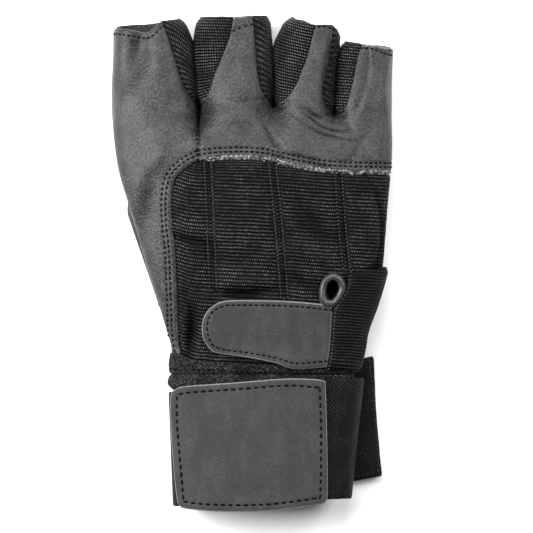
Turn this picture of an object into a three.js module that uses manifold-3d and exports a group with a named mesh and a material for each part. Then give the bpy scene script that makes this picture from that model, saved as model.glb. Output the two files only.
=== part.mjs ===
// Half-finger training glove for a right hand, lying palm down with the strap wound round the wrist.
// Lengths in mm. X to the little-finger side, Y to the fingers, Z up from the table.
import * as THREE from 'three';
import { mergeVertices } from 'three/addons/utils/BufferGeometryUtils.js';
import Module from 'manifold-3d';

const wasm = await Module();
wasm.setup();

// Driving sizes
const handWidth = 112;
const handLength = 139;
const gloveHeight = 29.5;
const leatherWall = 1.8;
const overlayThickness = 1.7;
const seamGap = 0.3;
const stackGap = 0.3;
const strapHeight = 48;
const strapThickness = 1.8;
const strapSpan = 84;
const strapMiddle = -32;
const patchHeight = 60;
const patchThickness = 1.6;
const slopeAllowance = 1.1;
const stallLength = 42;
const stallWidth = 50;
const stallHeight = 8.3;
const stallWall = 1.5;
const stallTurn = -71;
const thumbHoleLength = 34;
const thumbHoleWidth = 12;
const thumbHoleInset = 10;
const sag = 0.5;
const cutReach = 60;

// Roundness of the cross-sections: 2 is an ellipse, more is squarer
const handRoundness = 2.5;
const fingerRoundness = 2.3;
const stallRoundness = 3.6;
const handCorners = 32;
const fingerCorners = 20;

// Hand sleeve from the wrist end to the finger roots
const handStations = [
  { along: -0.101, left: -0.266, right: 0.345, under: 0.275, crown: 0.790 },
  { along: -0.085, left: -0.283, right: 0.352, under: 0.262, crown: 0.805 },
  { along: -0.069, left: -0.300, right: 0.359, under: 0.255, crown: 0.825 },
  { along: -0.039, left: -0.290, right: 0.360, under: 0.270, crown: 0.800 },
  { along: -0.006, left: -0.297, right: 0.373, under: 0.260, crown: 0.835 },
  { along: 0.026, left: -0.286, right: 0.382, under: 0.275, crown: 0.825 },
  { along: 0.089, left: -0.305, right: 0.393, under: 0.295, crown: 0.860 },
  { along: 0.176, left: -0.338, right: 0.430, under: 0.300, crown: 0.900 },
  { along: 0.262, left: -0.373, right: 0.462, under: 0.300, crown: 0.930 },
  { along: 0.348, left: -0.400, right: 0.475, under: 0.300, crown: 0.955 },
  { along: 0.463, left: -0.447, right: 0.483, under: 0.300, crown: 0.975 },
  { along: 0.521, left: -0.472, right: 0.492, under: 0.265, crown: 0.985 },
  { along: 0.578, left: -0.487, right: 0.503, under: 0.200, crown: 0.990 },
  { along: 0.636, left: -0.496, right: 0.505, under: 0.130, crown: 0.975 },
  { along: 0.694, left: -0.501, right: 0.502, under: 0.060, crown: 0.925 },
  { along: 0.751, left: -0.503, right: 0.496, under: 0.020, crown: 0.800 },
];

// Finger sleeves from inside the hand to past their open ends
const fingerStations = {
  index: [
    { along: 0.622, left: -0.480, right: -0.205, under: 0.140, crown: 0.850 },
    { along: 0.737, left: -0.500, right: -0.199, under: 0.000, crown: 0.830 },
    { along: 0.809, left: -0.503, right: -0.204, under: 0.000, crown: 0.790 },
    { along: 0.866, left: -0.499, right: -0.211, under: 0.000, crown: 0.760 },
    { along: 0.909, left: -0.497, right: -0.217, under: 0.000, crown: 0.745 },
    { along: 0.958, left: -0.496, right: -0.239, under: 0.000, crown: 0.740 },
    { along: 1.016, left: -0.494, right: -0.273, under: 0.000, crown: 0.735 },
  ],
  middle: [
    { along: 0.622, left: -0.183, right: 0.062, under: 0.140, crown: 0.930 },
    { along: 0.737, left: -0.188, right: 0.073, under: 0.000, crown: 0.890 },
    { along: 0.809, left: -0.196, right: 0.073, under: 0.000, crown: 0.840 },
    { along: 0.866, left: -0.203, right: 0.070, under: 0.000, crown: 0.800 },
    { along: 0.909, left: -0.204, right: 0.066, under: 0.000, crown: 0.780 },
    { along: 0.958, left: -0.198, right: 0.061, under: 0.000, crown: 0.770 },
    { along: 1.016, left: -0.184, right: 0.055, under: 0.000, crown: 0.765 },
  ],
  ring: [
    { along: 0.607, left: 0.084, right: 0.277, under: 0.150, crown: 0.920 },
    { along: 0.737, left: 0.084, right: 0.286, under: 0.000, crown: 0.880 },
    { along: 0.809, left: 0.082, right: 0.291, under: 0.000, crown: 0.830 },
    { along: 0.866, left: 0.079, right: 0.299, under: 0.000, crown: 0.790 },
    { along: 0.909, left: 0.081, right: 0.309, under: 0.000, crown: 0.770 },
    { along: 0.953, left: 0.104, right: 0.314, under: 0.000, crown: 0.760 },
    { along: 1.016, left: 0.148, right: 0.316, under: 0.000, crown: 0.755 },
  ],
  little: [
    { along: 0.607, left: 0.298, right: 0.484, under: 0.150, crown: 0.800 },
    { along: 0.737, left: 0.298, right: 0.495, under: 0.000, crown: 0.790 },
    { along: 0.809, left: 0.303, right: 0.498, under: 0.000, crown: 0.750 },
    { along: 0.866, left: 0.310, right: 0.502, under: 0.000, crown: 0.720 },
    { along: 0.909, left: 0.321, right: 0.505, under: 0.000, crown: 0.710 },
    { along: 0.958, left: 0.334, right: 0.507, under: 0.000, crown: 0.705 },
  ],
};

// Folded thumb sleeve, measured from its base: shares of its own width, length and height
const stallStations = [
  { along: 0.00, left: -0.500, right: 0.500, under: 0.000, crown: 0.860 },
  { along: 0.30, left: -0.470, right: 0.450, under: 0.000, crown: 1.000 },
  { along: 0.65, left: -0.400, right: 0.360, under: 0.000, crown: 1.000 },
  { along: 1.00, left: -0.370, right: 0.320, under: 0.000, crown: 0.960 },
];
const stallBase = { across: -0.405, along: 0.321 };

// Seams and cut edges seen from above, as shares of the hand width and length
const indexSeam = [
  { across: -0.320, along: 0.978 }, { across: -0.288, along: 0.901 }, { across: -0.259, along: 0.827 },
  { across: -0.234, along: 0.777 }, { across: -0.212, along: 0.753 }, { across: -0.191, along: 0.738 },
];
const middleLeftSeam = [
  { across: -0.191, along: 0.738 }, { across: -0.166, along: 0.751 }, { across: -0.145, along: 0.806 },
  { across: -0.113, along: 0.866 }, { across: -0.080, along: 0.935 }, { across: -0.068, along: 0.988 },
];
const middleRightSeam = [
  { across: 0.000, along: 0.991 }, { across: 0.011, along: 0.909 }, { across: 0.018, along: 0.849 },
  { across: 0.027, along: 0.800 }, { across: 0.043, along: 0.760 }, { across: 0.077, along: 0.731 },
];
const ringLeftSeam = [
  { across: 0.077, along: 0.731 }, { across: 0.109, along: 0.738 }, { across: 0.152, along: 0.788 },
  { across: 0.179, along: 0.840 }, { across: 0.202, along: 0.892 }, { across: 0.224, along: 0.966 },
];
const ringRightSeam = [
  { across: 0.289, along: 0.966 }, { across: 0.282, along: 0.911 }, { across: 0.273, along: 0.863 },
  { across: 0.261, along: 0.819 }, { across: 0.250, along: 0.774 }, { across: 0.259, along: 0.734 },
  { across: 0.288, along: 0.706 },
];
const littleSeam = [
  { across: 0.288, along: 0.706 }, { across: 0.325, along: 0.722 }, { across: 0.343, along: 0.760 },
  { across: 0.361, along: 0.819 }, { across: 0.372, along: 0.866 }, { across: 0.389, along: 0.911 },
];
const sideSeam = [
  { across: -0.191, along: 0.738 }, { across: -0.189, along: 0.665 }, { across: -0.186, along: 0.577 },
];
const openingEdge = [
  { across: -0.186, along: 0.577 }, { across: -0.230, along: 0.558 }, { across: -0.273, along: 0.524 },
  { across: -0.288, along: 0.469 }, { across: -0.286, along: 0.391 }, { across: -0.276, along: 0.319 },
  { across: -0.270, along: 0.176 }, { across: -0.266, along: 0.083 }, { across: -0.255, along: 0.015 },
];
const knuckleHem = [
  { across: -0.186, along: 0.577 }, { across: -0.105, along: 0.583 }, { across: 0.011, along: 0.583 },
  { across: 0.102, along: 0.569 }, { across: 0.193, along: 0.554 }, { across: 0.312, along: 0.543 },
  { across: 0.560, along: 0.540 },
];
const cuffLine = [
  { across: -0.560, along: 0.026 }, { across: -0.286, along: 0.024 }, { across: -0.188, along: 0.003 },
  { across: 0.027, along: -0.009 }, { across: 0.241, along: -0.020 }, { across: 0.560, along: -0.026 },
];
const indexEnd = [
  { across: -0.560, along: 0.944 }, { across: -0.430, along: 0.940 },
  { across: -0.373, along: 0.946 }, { across: -0.320, along: 0.978 },
];
const middleEnd = [{ across: -0.068, along: 0.988 }, { across: 0.000, along: 0.991 }];
const ringEnd = [
  { across: 0.224, along: 0.966 }, { across: 0.255, along: 0.974 }, { across: 0.289, along: 0.966 },
];
const littleEnd = [{ across: 0.389, along: 0.911 }, { across: 0.560, along: 0.893 }];
const indexMiddleEnd = [
  { across: -0.320, along: 0.978 }, { across: -0.223, along: 0.987 }, { across: -0.191, along: 0.992 },
  { across: -0.134, along: 0.988 }, { across: -0.068, along: 0.988 },
];
const middleRingEnd = [
  { across: 0.000, along: 0.991 }, { across: 0.057, along: 0.996 }, { across: 0.134, along: 0.992 },
  { across: 0.173, along: 0.983 }, { across: 0.224, along: 0.966 },
];
const ringLittleEnd = [
  { across: 0.289, along: 0.966 }, { across: 0.316, along: 0.950 }, { across: 0.323, along: 0.923 },
  { across: 0.345, along: 0.922 }, { across: 0.389, along: 0.911 },
];
const palmEnd = [
  { across: -0.560, along: 0.958 }, { across: -0.373, along: 0.973 }, { across: -0.223, along: 0.987 },
  { across: -0.150, along: 0.992 }, { across: 0.057, along: 0.996 }, { across: 0.134, along: 0.992 },
  { across: 0.220, along: 0.970 }, { across: 0.316, along: 0.945 }, { across: 0.384, along: 0.914 },
  { across: 0.560, along: 0.898 },
];
const tabEdge = [
  { across: 0.320, along: 0.161 }, { across: 0.134, along: 0.173 }, { across: -0.045, along: 0.176 },
  { across: -0.112, along: 0.171 }, { across: -0.162, along: 0.144 }, { across: -0.178, along: 0.098 },
  { across: -0.166, along: 0.052 }, { across: -0.125, along: 0.024 }, { across: -0.009, along: 0.009 },
  { across: 0.080, along: -0.004 }, { across: 0.152, along: -0.019 }, { across: 0.310, along: -0.016 },
];
const flapFront = [
  { across: 0.291, along: 0.163 }, { across: 0.283, along: 0.152 }, { across: 0.277, along: 0.089 },
  { across: 0.271, along: 0.030 }, { across: 0.259, along: -0.021 },
];
const flapTop = [
  { across: 0.560, along: 0.272 }, { across: 0.440, along: 0.262 }, { across: 0.338, along: 0.257 },
  { across: 0.331, along: 0.214 }, { across: 0.312, along: 0.184 }, { across: 0.291, along: 0.163 },
];
const ventEdge = [
  { across: 0.268, along: 0.160 }, { across: 0.248, along: 0.170 }, { across: 0.246, along: 0.204 },
  { across: 0.258, along: 0.234 }, { across: 0.286, along: 0.247 }, { across: 0.314, along: 0.236 },
  { across: 0.325, along: 0.211 }, { across: 0.310, along: 0.182 }, { across: 0.288, along: 0.163 },
];
const ventHole = [
  { across: 0.277, along: 0.176 }, { across: 0.267, along: 0.190 }, { across: 0.266, along: 0.208 },
  { across: 0.273, along: 0.223 }, { across: 0.286, along: 0.230 }, { across: 0.299, along: 0.222 },
  { across: 0.302, along: 0.206 }, { across: 0.291, along: 0.188 },
];
const palmLevel = [
  { along: -0.150, rise: 0.480 }, { along: 0.200, rise: 0.480 }, { along: 0.480, rise: 0.470 },
  { along: 0.620, rise: 0.350 }, { along: 0.740, rise: 0.240 }, { along: 1.100, rise: 0.230 },
];

// Strap run from its sewn start, round the wrist, through the slack fold and over the top again.
// Across and sway are shares of the strap span, rise of the glove height, lead of the strap height.
const strapRun = [
  { across: 0.330, rise: 0.860, lead: 0.04, sway: 0.00 },
  { across: 0.120, rise: 0.868, lead: -0.03, sway: 0.00 },
  { across: -0.120, rise: 0.860, lead: -0.10, sway: 0.00 },
  { across: -0.280, rise: 0.790, lead: -0.16, sway: 0.00 },
  { across: -0.366, rise: 0.640, lead: -0.18, sway: -0.01 },
  { across: -0.376, rise: 0.400, lead: -0.18, sway: -0.01 },
  { across: -0.335, rise: 0.150, lead: -0.17, sway: -0.01 },
  { across: -0.250, rise: 0.0305, lead: -0.14, sway: 0.00 },
  { across: -0.150, rise: 0.0305, lead: -0.09, sway: 0.00 },
  { across: 0.100, rise: 0.0305, lead: 0.06, sway: 0.00 },
  { across: 0.350, rise: 0.0305, lead: 0.22, sway: 0.01 },
  { across: 0.550, rise: 0.0305, lead: 0.37, sway: -0.02 },
  { across: 0.590, rise: 0.078, lead: 0.40, sway: -0.02 },
  { across: 0.550, rise: 0.126, lead: 0.37, sway: -0.02 },
  { across: 0.400, rise: 0.122, lead: 0.30, sway: 0.00 },
  { across: 0.270, rise: 0.122, lead: 0.24, sway: 0.00 },
  { across: 0.238, rise: 0.166, lead: 0.22, sway: 0.00 },
  { across: 0.270, rise: 0.210, lead: 0.20, sway: 0.00 },
  { across: 0.400, rise: 0.214, lead: 0.12, sway: 0.01 },
  { across: 0.468, rise: 0.300, lead: 0.07, sway: 0.02 },
  { across: 0.492, rise: 0.500, lead: 0.05, sway: 0.03 },
  { across: 0.475, rise: 0.700, lead: 0.05, sway: 0.02 },
  { across: 0.420, rise: 0.830, lead: 0.05, sway: 0.01 },
  { across: 0.330, rise: 0.912, lead: 0.04, sway: 0.00 },
  { across: 0.120, rise: 0.945, lead: -0.02, sway: 0.00 },
  { across: -0.120, rise: 0.938, lead: -0.08, sway: 0.00 },
  { across: -0.300, rise: 0.862, lead: -0.13, sway: 0.00 },
];
const patchTurn = { across: -0.410, rise: 0.770, lead: -0.15, sway: 0.00 };
const patchEdge = [
  { across: 0.275, along: -0.055 }, { across: 0.120, along: -0.049 }, { across: -0.060, along: -0.060 },
  { across: -0.240, along: -0.071 }, { across: -0.285, along: -0.085 }, { across: -0.292, along: -0.112 },
  { across: -0.290, along: -0.200 }, { across: -0.274, along: -0.345 }, { across: -0.266, along: -0.405 },
  { across: -0.240, along: -0.421 }, { across: -0.120, along: -0.429 }, { across: 0.060, along: -0.427 },
  { across: 0.235, along: -0.409 }, { across: 0.262, along: -0.400 }, { across: 0.268, along: -0.240 },
];

function toSolid(geometry) {
  const bare = geometry.clone();
  bare.deleteAttribute('normal');
  bare.deleteAttribute('uv');
  const welded = mergeVertices(bare, 1e-4);
  return new wasm.Manifold(new wasm.Mesh({
    numProp: 3,
    vertProperties: Float32Array.from(welded.attributes.position.array),
    triVerts: Uint32Array.from(welded.index.array),
  }));
}

function toGeometry(solid) {
  const mesh = solid.getMesh();
  const geometry = new THREE.BufferGeometry();
  geometry.setAttribute('position', new THREE.BufferAttribute(Float32Array.from(mesh.vertProperties), 3));
  geometry.setIndex(Array.from(mesh.triVerts));
  geometry.computeVertexNormals();
  return geometry;
}

// Grid of rows of points, each row closed on itself, with the given cap faces at both ends
function closedGrid(rows, capFaces) {
  const count = rows[0].length;
  const positions = rows.flat().flatMap((point) => [point.x, point.y, point.z]);
  const index = [];
  for (let row = 0; row + 1 < rows.length; row += 1) {
    for (let corner = 0; corner < count; corner += 1) {
      const next = (corner + 1) % count;
      const here = row * count;
      const there = here + count;
      index.push(here + corner, there + corner, here + next);
      index.push(here + next, there + corner, there + next);
    }
  }
  const lastRow = (rows.length - 1) * count;
  capFaces.forEach(([a, b, c]) => index.push(a, b, c, lastRow + a, lastRow + c, lastRow + b));
  const geometry = new THREE.BufferGeometry();
  geometry.setAttribute('position', new THREE.Float32BufferAttribute(positions, 3));
  geometry.setIndex(index);
  return geometry;
}

// Flattened sleeve: squared oval sections strung along Y, grown by an allowance all round
function sleeve(stations, size, roundness, corners, steps, grow, from, to) {
  const places = stations.map((station) => station.along);
  const values = stations.flatMap((s) => [s.left, s.right, s.under, s.crown]);
  const blend = new THREE.CubicInterpolant(places, values, 4);
  const rows = [];
  for (let step = 0; step <= steps; step += 1) {
    const place = from + ((to - from) * step) / steps;
    const [left, right, under, crown] = blend.evaluate(place);
    const halfWidth = ((right - left) * size.width) / 2 + grow;
    const middle = ((right + left) * size.width) / 2;
    const floor = Math.max(under, 0) * size.height - grow;
    const roof = crown * size.height + grow;
    const level = floor + 0.45 * (roof - floor);
    const row = [];
    for (let corner = 0; corner < corners; corner += 1) {
      const turn = (2 * Math.PI * corner) / corners;
      const out = Math.sign(Math.cos(turn)) * Math.abs(Math.cos(turn)) ** (2 / roundness);
      const lift = Math.sign(Math.sin(turn)) * Math.abs(Math.sin(turn)) ** (2 / roundness);
      const height = lift > 0 ? level + lift * (roof - level) : level + lift * (level - floor + sag);
      row.push(new THREE.Vector3(middle + out * halfWidth, place * size.length, Math.max(height, floor)));
    }
    rows.push(row);
  }
  const fan = rows[0].slice(2).map((point, place) => [0, place + 1, place + 2]);
  return toSolid(closedGrid(rows, fan));
}

// Band bent through a run of places, its height laid along Y
function band(run, width, thickness, steps) {
  const edge = (side) => new THREE.CatmullRomCurve3(run.map((place) => new THREE.Vector3(
    (place.across + side * place.sway) * strapSpan,
    strapMiddle + place.lead * strapHeight / 2 + (side * width) / 2,
    place.rise * gloveHeight,
  )), false, 'centripetal');
  const skin = (side, offset) => {
    const curve = edge(side);
    const points = [];
    for (let step = 0; step <= steps; step += 1) {
      const point = curve.getPoint(step / steps);
      const tangent = curve.getTangent(step / steps);
      const normal = new THREE.Vector2(-tangent.z, tangent.x).normalize();
      const height = Math.max(point.z + normal.y * offset, 0);
      points.push(new THREE.Vector3(point.x + normal.x * offset, point.y, height));
    }
    return points;
  };
  const ring = (side) => skin(side, -thickness / 2).concat(skin(side, thickness / 2).reverse());
  const rungs = [];
  for (let step = 0; step < steps; step += 1) {
    const across = 2 * steps + 1 - step;
    rungs.push([step, step + 1, across], [step + 1, across - 1, across]);
  }
  return toSolid(closedGrid([ring(-1), ring(0), ring(1)], rungs));
}

function planCurve(rows) {
  const places = rows.map((row) => new THREE.Vector2(row.across * handWidth, row.along * handLength));
  return new THREE.SplineCurve(places).getPoints((rows.length - 1) * 2);
}

// Upright block over an outline drawn through one or more seams
function block(...lines) {
  const outline = [];
  lines.flat().forEach((point) => {
    if (!outline.length || outline[outline.length - 1].distanceTo(point) > 0.01) outline.push(point);
  });
  if (outline[0].distanceTo(outline[outline.length - 1]) < 0.01) outline.pop();
  const shape = new THREE.Shape(outline);
  const geometry = new THREE.ExtrudeGeometry(shape, { depth: 2 * cutReach, bevelEnabled: false });
  return toSolid(geometry.translate(0, 0, -cutReach));
}

// Thin upright wall along a seam, which leaves the gap between the panels it divides
function seamCut(points) {
  const start = points[0].clone().sub(points[1]).setLength(seamGap).add(points[0]);
  const last = points.length - 1;
  const end = points[last].clone().sub(points[last - 1]).setLength(seamGap).add(points[last]);
  const line = [start, ...points, end];
  const sideOf = (side) => line.map((point, place) => {
    const before = line[Math.max(place - 1, 0)];
    const after = line[Math.min(place + 1, line.length - 1)];
    const run = after.clone().sub(before).normalize();
    return new THREE.Vector2(point.x - run.y * side, point.y + run.x * side);
  });
  return block(sideOf(seamGap / 2), sideOf(-seamGap / 2).reverse());
}

function reversed(points) {
  return points.slice().reverse();
}

const hand = { width: handWidth, length: handLength, height: gloveHeight };
const stallSize = { width: stallWidth, length: stallLength, height: stallHeight };
const wristEnd = handStations[0].along;
const rootEnd = handStations[handStations.length - 1].along;
const past = 0.05;

function handSleeve(grow, from, to) {
  return sleeve(handStations, hand, handRoundness, handCorners, 18, grow, from, to);
}

function fingerSleeve(stations, grow) {
  const tip = stations[stations.length - 1].along + (grow < 0 ? past : 0);
  return sleeve(stations, hand, fingerRoundness, fingerCorners, 7, grow, stations[0].along, tip);
}

// Hollow skin of the hand and the four fingers
const fingers = Object.values(fingerStations);
const outer = fingers.reduce((whole, finger) => whole.add(fingerSleeve(finger, 0)), handSleeve(0, wristEnd, rootEnd));
const rootInside = rootEnd - leatherWall / handLength;
const hollow = fingers.reduce(
  (whole, finger) => whole.add(fingerSleeve(finger, -leatherWall)),
  handSleeve(-leatherWall, wristEnd - past, rootInside),
);
const skin = outer.subtract(hollow);

// Seams sampled once, so that both neighbours share them
const indexLine = planCurve(indexSeam);
const middleLeftLine = planCurve(middleLeftSeam);
const middleRightLine = planCurve(middleRightSeam);
const ringLeftLine = planCurve(ringLeftSeam);
const ringRightLine = planCurve(ringRightSeam);
const littleLine = planCurve(littleSeam);
const sideLine = planCurve(sideSeam);
const openingLine = planCurve(openingEdge);
const hemLine = planCurve(knuckleHem);
const cuffTop = planCurve(cuffLine);
const flapFrontLine = planCurve(flapFront);
const ventLine = planCurve(ventEdge.concat(ventEdge.slice(0, 1)));
const seamLines = [
  indexLine, middleLeftLine, middleRightLine, ringLeftLine, ringRightLine, littleLine,
  sideLine, openingLine, hemLine, cuffTop,
];
const seamCuts = seamLines.reduce((whole, line) => whole.add(seamCut(line)), seamCut(ventLine));
const farLeft = -0.56 * handWidth;
const farRight = 0.56 * handWidth;

// Slab below the line where the palm leather stops, wide enough to pass through the whole hand
const levelCurve = new THREE.SplineCurve(
  palmLevel.map((row) => new THREE.Vector2(row.along * handLength, row.rise * gloveHeight)),
).getPoints(20);

function slab(gap) {
  const edge = levelCurve.map((point) => new THREE.Vector2(point.x, point.y + gap));
  const shape = new THREE.Shape([
    new THREE.Vector2(edge[0].x, -cutReach),
    new THREE.Vector2(edge[edge.length - 1].x, -cutReach),
    ...reversed(edge),
  ]);
  const geometry = new THREE.ExtrudeGeometry(shape, { depth: 3 * cutReach, bevelEnabled: false });
  geometry.translate(0, 0, -1.5 * cutReach);
  geometry.applyMatrix4(new THREE.Matrix4().makeBasis(
    new THREE.Vector3(0, 1, 0),
    new THREE.Vector3(0, 0, 1),
    new THREE.Vector3(1, 0, 0),
  ));
  return toSolid(geometry);
}

const belowCuffLine = block(cuffTop, [
  new THREE.Vector2(farRight, wristEnd * 2 * handLength),
  new THREE.Vector2(farLeft, wristEnd * 2 * handLength),
]);
const backOfHand = skin.subtract(slab(seamGap)).subtract(belowCuffLine).subtract(seamCuts);

const thumbSide = backOfHand.intersect(block(
  planCurve(indexEnd), indexLine, sideLine, openingLine,
  [new THREE.Vector2(farLeft, 0.015 * handLength)],
));
const knuckles = backOfHand.intersect(block(
  reversed(sideLine), middleLeftLine, planCurve(middleEnd), middleRightLine, ringLeftLine,
  planCurve(ringEnd), ringRightLine, littleLine, planCurve(littleEnd), reversed(hemLine),
));
const indexMiddleWeb = backOfHand.intersect(block(
  planCurve(indexMiddleEnd), reversed(middleLeftLine), reversed(indexLine),
));
const middleRingWeb = backOfHand.intersect(block(
  planCurve(middleRingEnd), reversed(ringLeftLine), reversed(middleRightLine),
));
const ringLittleWeb = backOfHand.intersect(block(
  planCurve(ringLittleEnd), reversed(littleLine), reversed(ringRightLine),
));
const knitBack = backOfHand.intersect(block(
  hemLine, reversed(cuffTop).filter((point) => point.x > openingLine[openingLine.length - 1].x),
  reversed(openingLine),
)).subtract(block(ventLine));
const ventRing = backOfHand.intersect(block(ventLine)).subtract(block(planCurve(ventHole)));

// Thumb sleeve folded flat under the palm, joined to the hand through an oval hole
const stallPlace = new THREE.Matrix4().makeRotationZ(THREE.MathUtils.degToRad(stallTurn)).setPosition(
  stallBase.across * handWidth,
  stallBase.along * handLength,
  0,
);
const stallOuter = sleeve(stallStations, stallSize, stallRoundness, fingerCorners, 6, 0, 0, 1);
const stallInner = sleeve(
  stallStations, stallSize, stallRoundness, fingerCorners, 6, -stallWall,
  stallWall / stallLength, 1 + past,
);
const holeShape = new THREE.Shape().absellipse(
  0, thumbHoleInset, thumbHoleLength / 2, thumbHoleWidth / 2, 0, 2 * Math.PI, false, 0,
);
const holeDepth = gloveHeight / 3;
const thumbHole = toSolid(new THREE.ExtrudeGeometry(
  holeShape, { depth: holeDepth, bevelEnabled: false, curveSegments: 24 },
).translate(0, 0, stallHeight / 2)).transform(stallPlace.toArray());
const thumbSleeve = stallOuter.subtract(stallInner).transform(stallPlace.toArray()).subtract(thumbHole);

const palm = skin.intersect(slab(0)).subtract(belowCuffLine).subtract(seamCut(cuffTop)).intersect(block(
  planCurve(palmEnd),
  [
    new THREE.Vector2(farRight, wristEnd * handLength),
    new THREE.Vector2(farLeft, wristEnd * handLength),
  ],
)).subtract(thumbHole);
const cuff = skin.intersect(belowCuffLine).subtract(seamCut(cuffTop));

// Pieces laid on the skin over the wrist
const overlay = handSleeve(stackGap + overlayThickness, wristEnd, rootEnd)
  .subtract(handSleeve(stackGap, wristEnd, rootEnd))
  .subtract(slab(seamGap));
const flapBlock = block(
  reversed(flapFrontLine), reversed(planCurve(flapTop)), [new THREE.Vector2(farRight, flapFront[4].along * handLength)],
);
const sideFlap = overlay.intersect(flapBlock).subtract(seamCut(flapFrontLine));
const tab = overlay.intersect(block(planCurve(tabEdge))).subtract(flapBlock).subtract(seamCut(flapFrontLine));

const strap = band(strapRun, strapHeight, strapThickness, 78);
const patchLift = slopeAllowance * (strapThickness / 2 + stackGap + patchThickness / 2) / gloveHeight;
const patchRun = strapRun.slice(-5).concat(patchTurn).map((row) => ({ ...row, rise: row.rise + patchLift }));
const patch = band(patchRun, patchHeight, patchThickness, 14).intersect(
  block(planCurve(patchEdge.concat(patchEdge.slice(0, 1)))),
);

const leather = { color: 0x5a5c5e, roughness: 0.62, metalness: 0 };
const nubuck = { color: 0x606264, roughness: 0.9, metalness: 0 };
const knit = { color: 0x1b1b1c, roughness: 0.95, metalness: 0 };
const loopKnit = { color: 0x3a3a3b, roughness: 0.95, metalness: 0 };
const elastic = { color: 0x282627, roughness: 0.9, metalness: 0 };
const smoothLeather = { color: 0x707274, roughness: 0.5, metalness: 0 };

const pieces = [
  ['palm_leather', palm, leather],
  ['thumb_side_leather', thumbSide, leather],
  ['knuckle_leather', knuckles, leather],
  ['index_middle_web', indexMiddleWeb, knit],
  ['middle_ring_web', middleRingWeb, knit],
  ['ring_little_web', ringLittleWeb, knit],
  ['back_panel', knitBack, knit],
  ['keyhole_lining', ventRing, smoothLeather],
  ['closure_tab', tab, nubuck],
  ['side_flap', sideFlap, elastic],
  ['wrist_cuff', cuff, loopKnit],
  ['thumb_sleeve', thumbSleeve, leather],
  ['wrist_strap', strap, elastic],
  ['strap_patch', patch, nubuck],
];

const group = new THREE.Group();
group.name = 'training_glove';
pieces.forEach(([name, solid, look]) => {
  const mesh = new THREE.Mesh(toGeometry(solid), new THREE.MeshStandardMaterial(look));
  mesh.name = name;
  group.add(mesh);
});
const extent = new THREE.Box3().setFromObject(group);
const centre = extent.getCenter(new THREE.Vector3());
group.children.forEach((mesh) => mesh.position.set(-centre.x, -centre.y, -extent.min.z));

export default group;
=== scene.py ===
"""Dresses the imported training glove: leather and knit panels, strap, stitches, finishes, light and camera."""

import logging
import math
from dataclasses import dataclass, field
from enum import Enum
from typing import Sequence

import bpy
import numpy as np
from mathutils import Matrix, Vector
from mathutils.bvhtree import BVHTree
from mathutils.kdtree import KDTree


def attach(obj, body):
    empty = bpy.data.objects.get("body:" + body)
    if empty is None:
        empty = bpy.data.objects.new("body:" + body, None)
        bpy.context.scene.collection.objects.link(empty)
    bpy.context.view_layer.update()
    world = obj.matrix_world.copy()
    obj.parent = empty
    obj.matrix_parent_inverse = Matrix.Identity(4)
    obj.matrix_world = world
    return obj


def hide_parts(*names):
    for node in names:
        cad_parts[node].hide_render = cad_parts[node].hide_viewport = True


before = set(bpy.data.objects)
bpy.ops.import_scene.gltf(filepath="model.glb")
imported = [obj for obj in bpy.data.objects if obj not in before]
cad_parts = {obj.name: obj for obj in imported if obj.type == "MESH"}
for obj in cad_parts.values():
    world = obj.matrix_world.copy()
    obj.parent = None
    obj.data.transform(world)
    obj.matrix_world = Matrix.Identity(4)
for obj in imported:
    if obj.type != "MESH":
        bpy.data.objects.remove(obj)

LOG = logging.getLogger("glove")
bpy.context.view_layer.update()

# Driving sizes in mm, the same as the solids'
HAND_WIDTH = 112.0
HAND_LENGTH = 139.0
GLOVE_HEIGHT = 29.5
STRAP_HEIGHT = 48.0
STRAP_SPAN = 84.0
STRAP_MIDDLE = -32.0
STRAP_THICKNESS = 1.8
PATCH_THICKNESS = 1.6
STACK_GAP = 0.3
STALL_LENGTH = 42.0
STALL_WIDTH = 50.0
STALL_HEIGHT = 8.3
STALL_TURN = -71.0
SAG = 0.5
HALF_WIDTH = HAND_WIDTH / 2

# Where the solids' own frame lies in the shared one, in mm, and one mm in metres
ORIGIN = np.array([-0.106, -39.041, 0.0])
MM = 0.001

# Powers of the squared ovals, and how far up a section its widest place lies, as a share
HAND_ROUNDNESS = 2.5
FINGER_ROUNDNESS = 2.3
STALL_ROUNDNESS = 3.6
LEVEL_SHARE = 0.45

# X in mm at which cross lines are read beside the little finger and at the wrist
LITTLE_SIDE = 55.0
WRIST_SIDE = 44.0

# Ends of the little finger's top and of the fingers' undersides, along
LITTLE_END = 0.895
UNDER_END = 0.94

Rows = Sequence[Sequence[float]]

# Sleeve stations: along, left, right, under, crown, as shares of the hand's length, width and height
HAND_STATIONS: Rows = (
    (-0.101, -0.266, 0.345, 0.275, 0.790), (-0.085, -0.283, 0.352, 0.262, 0.805),
    (-0.069, -0.300, 0.359, 0.255, 0.825), (-0.039, -0.290, 0.360, 0.270, 0.800),
    (-0.006, -0.297, 0.373, 0.260, 0.835), (0.026, -0.286, 0.382, 0.275, 0.825),
    (0.089, -0.305, 0.393, 0.295, 0.860), (0.176, -0.338, 0.430, 0.300, 0.900),
    (0.262, -0.373, 0.462, 0.300, 0.930), (0.348, -0.400, 0.475, 0.300, 0.955),
    (0.463, -0.447, 0.483, 0.300, 0.975), (0.521, -0.472, 0.492, 0.265, 0.985),
    (0.578, -0.487, 0.503, 0.200, 0.990), (0.636, -0.496, 0.505, 0.130, 0.975),
    (0.694, -0.501, 0.502, 0.060, 0.925), (0.751, -0.503, 0.496, 0.020, 0.800),
)
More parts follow.
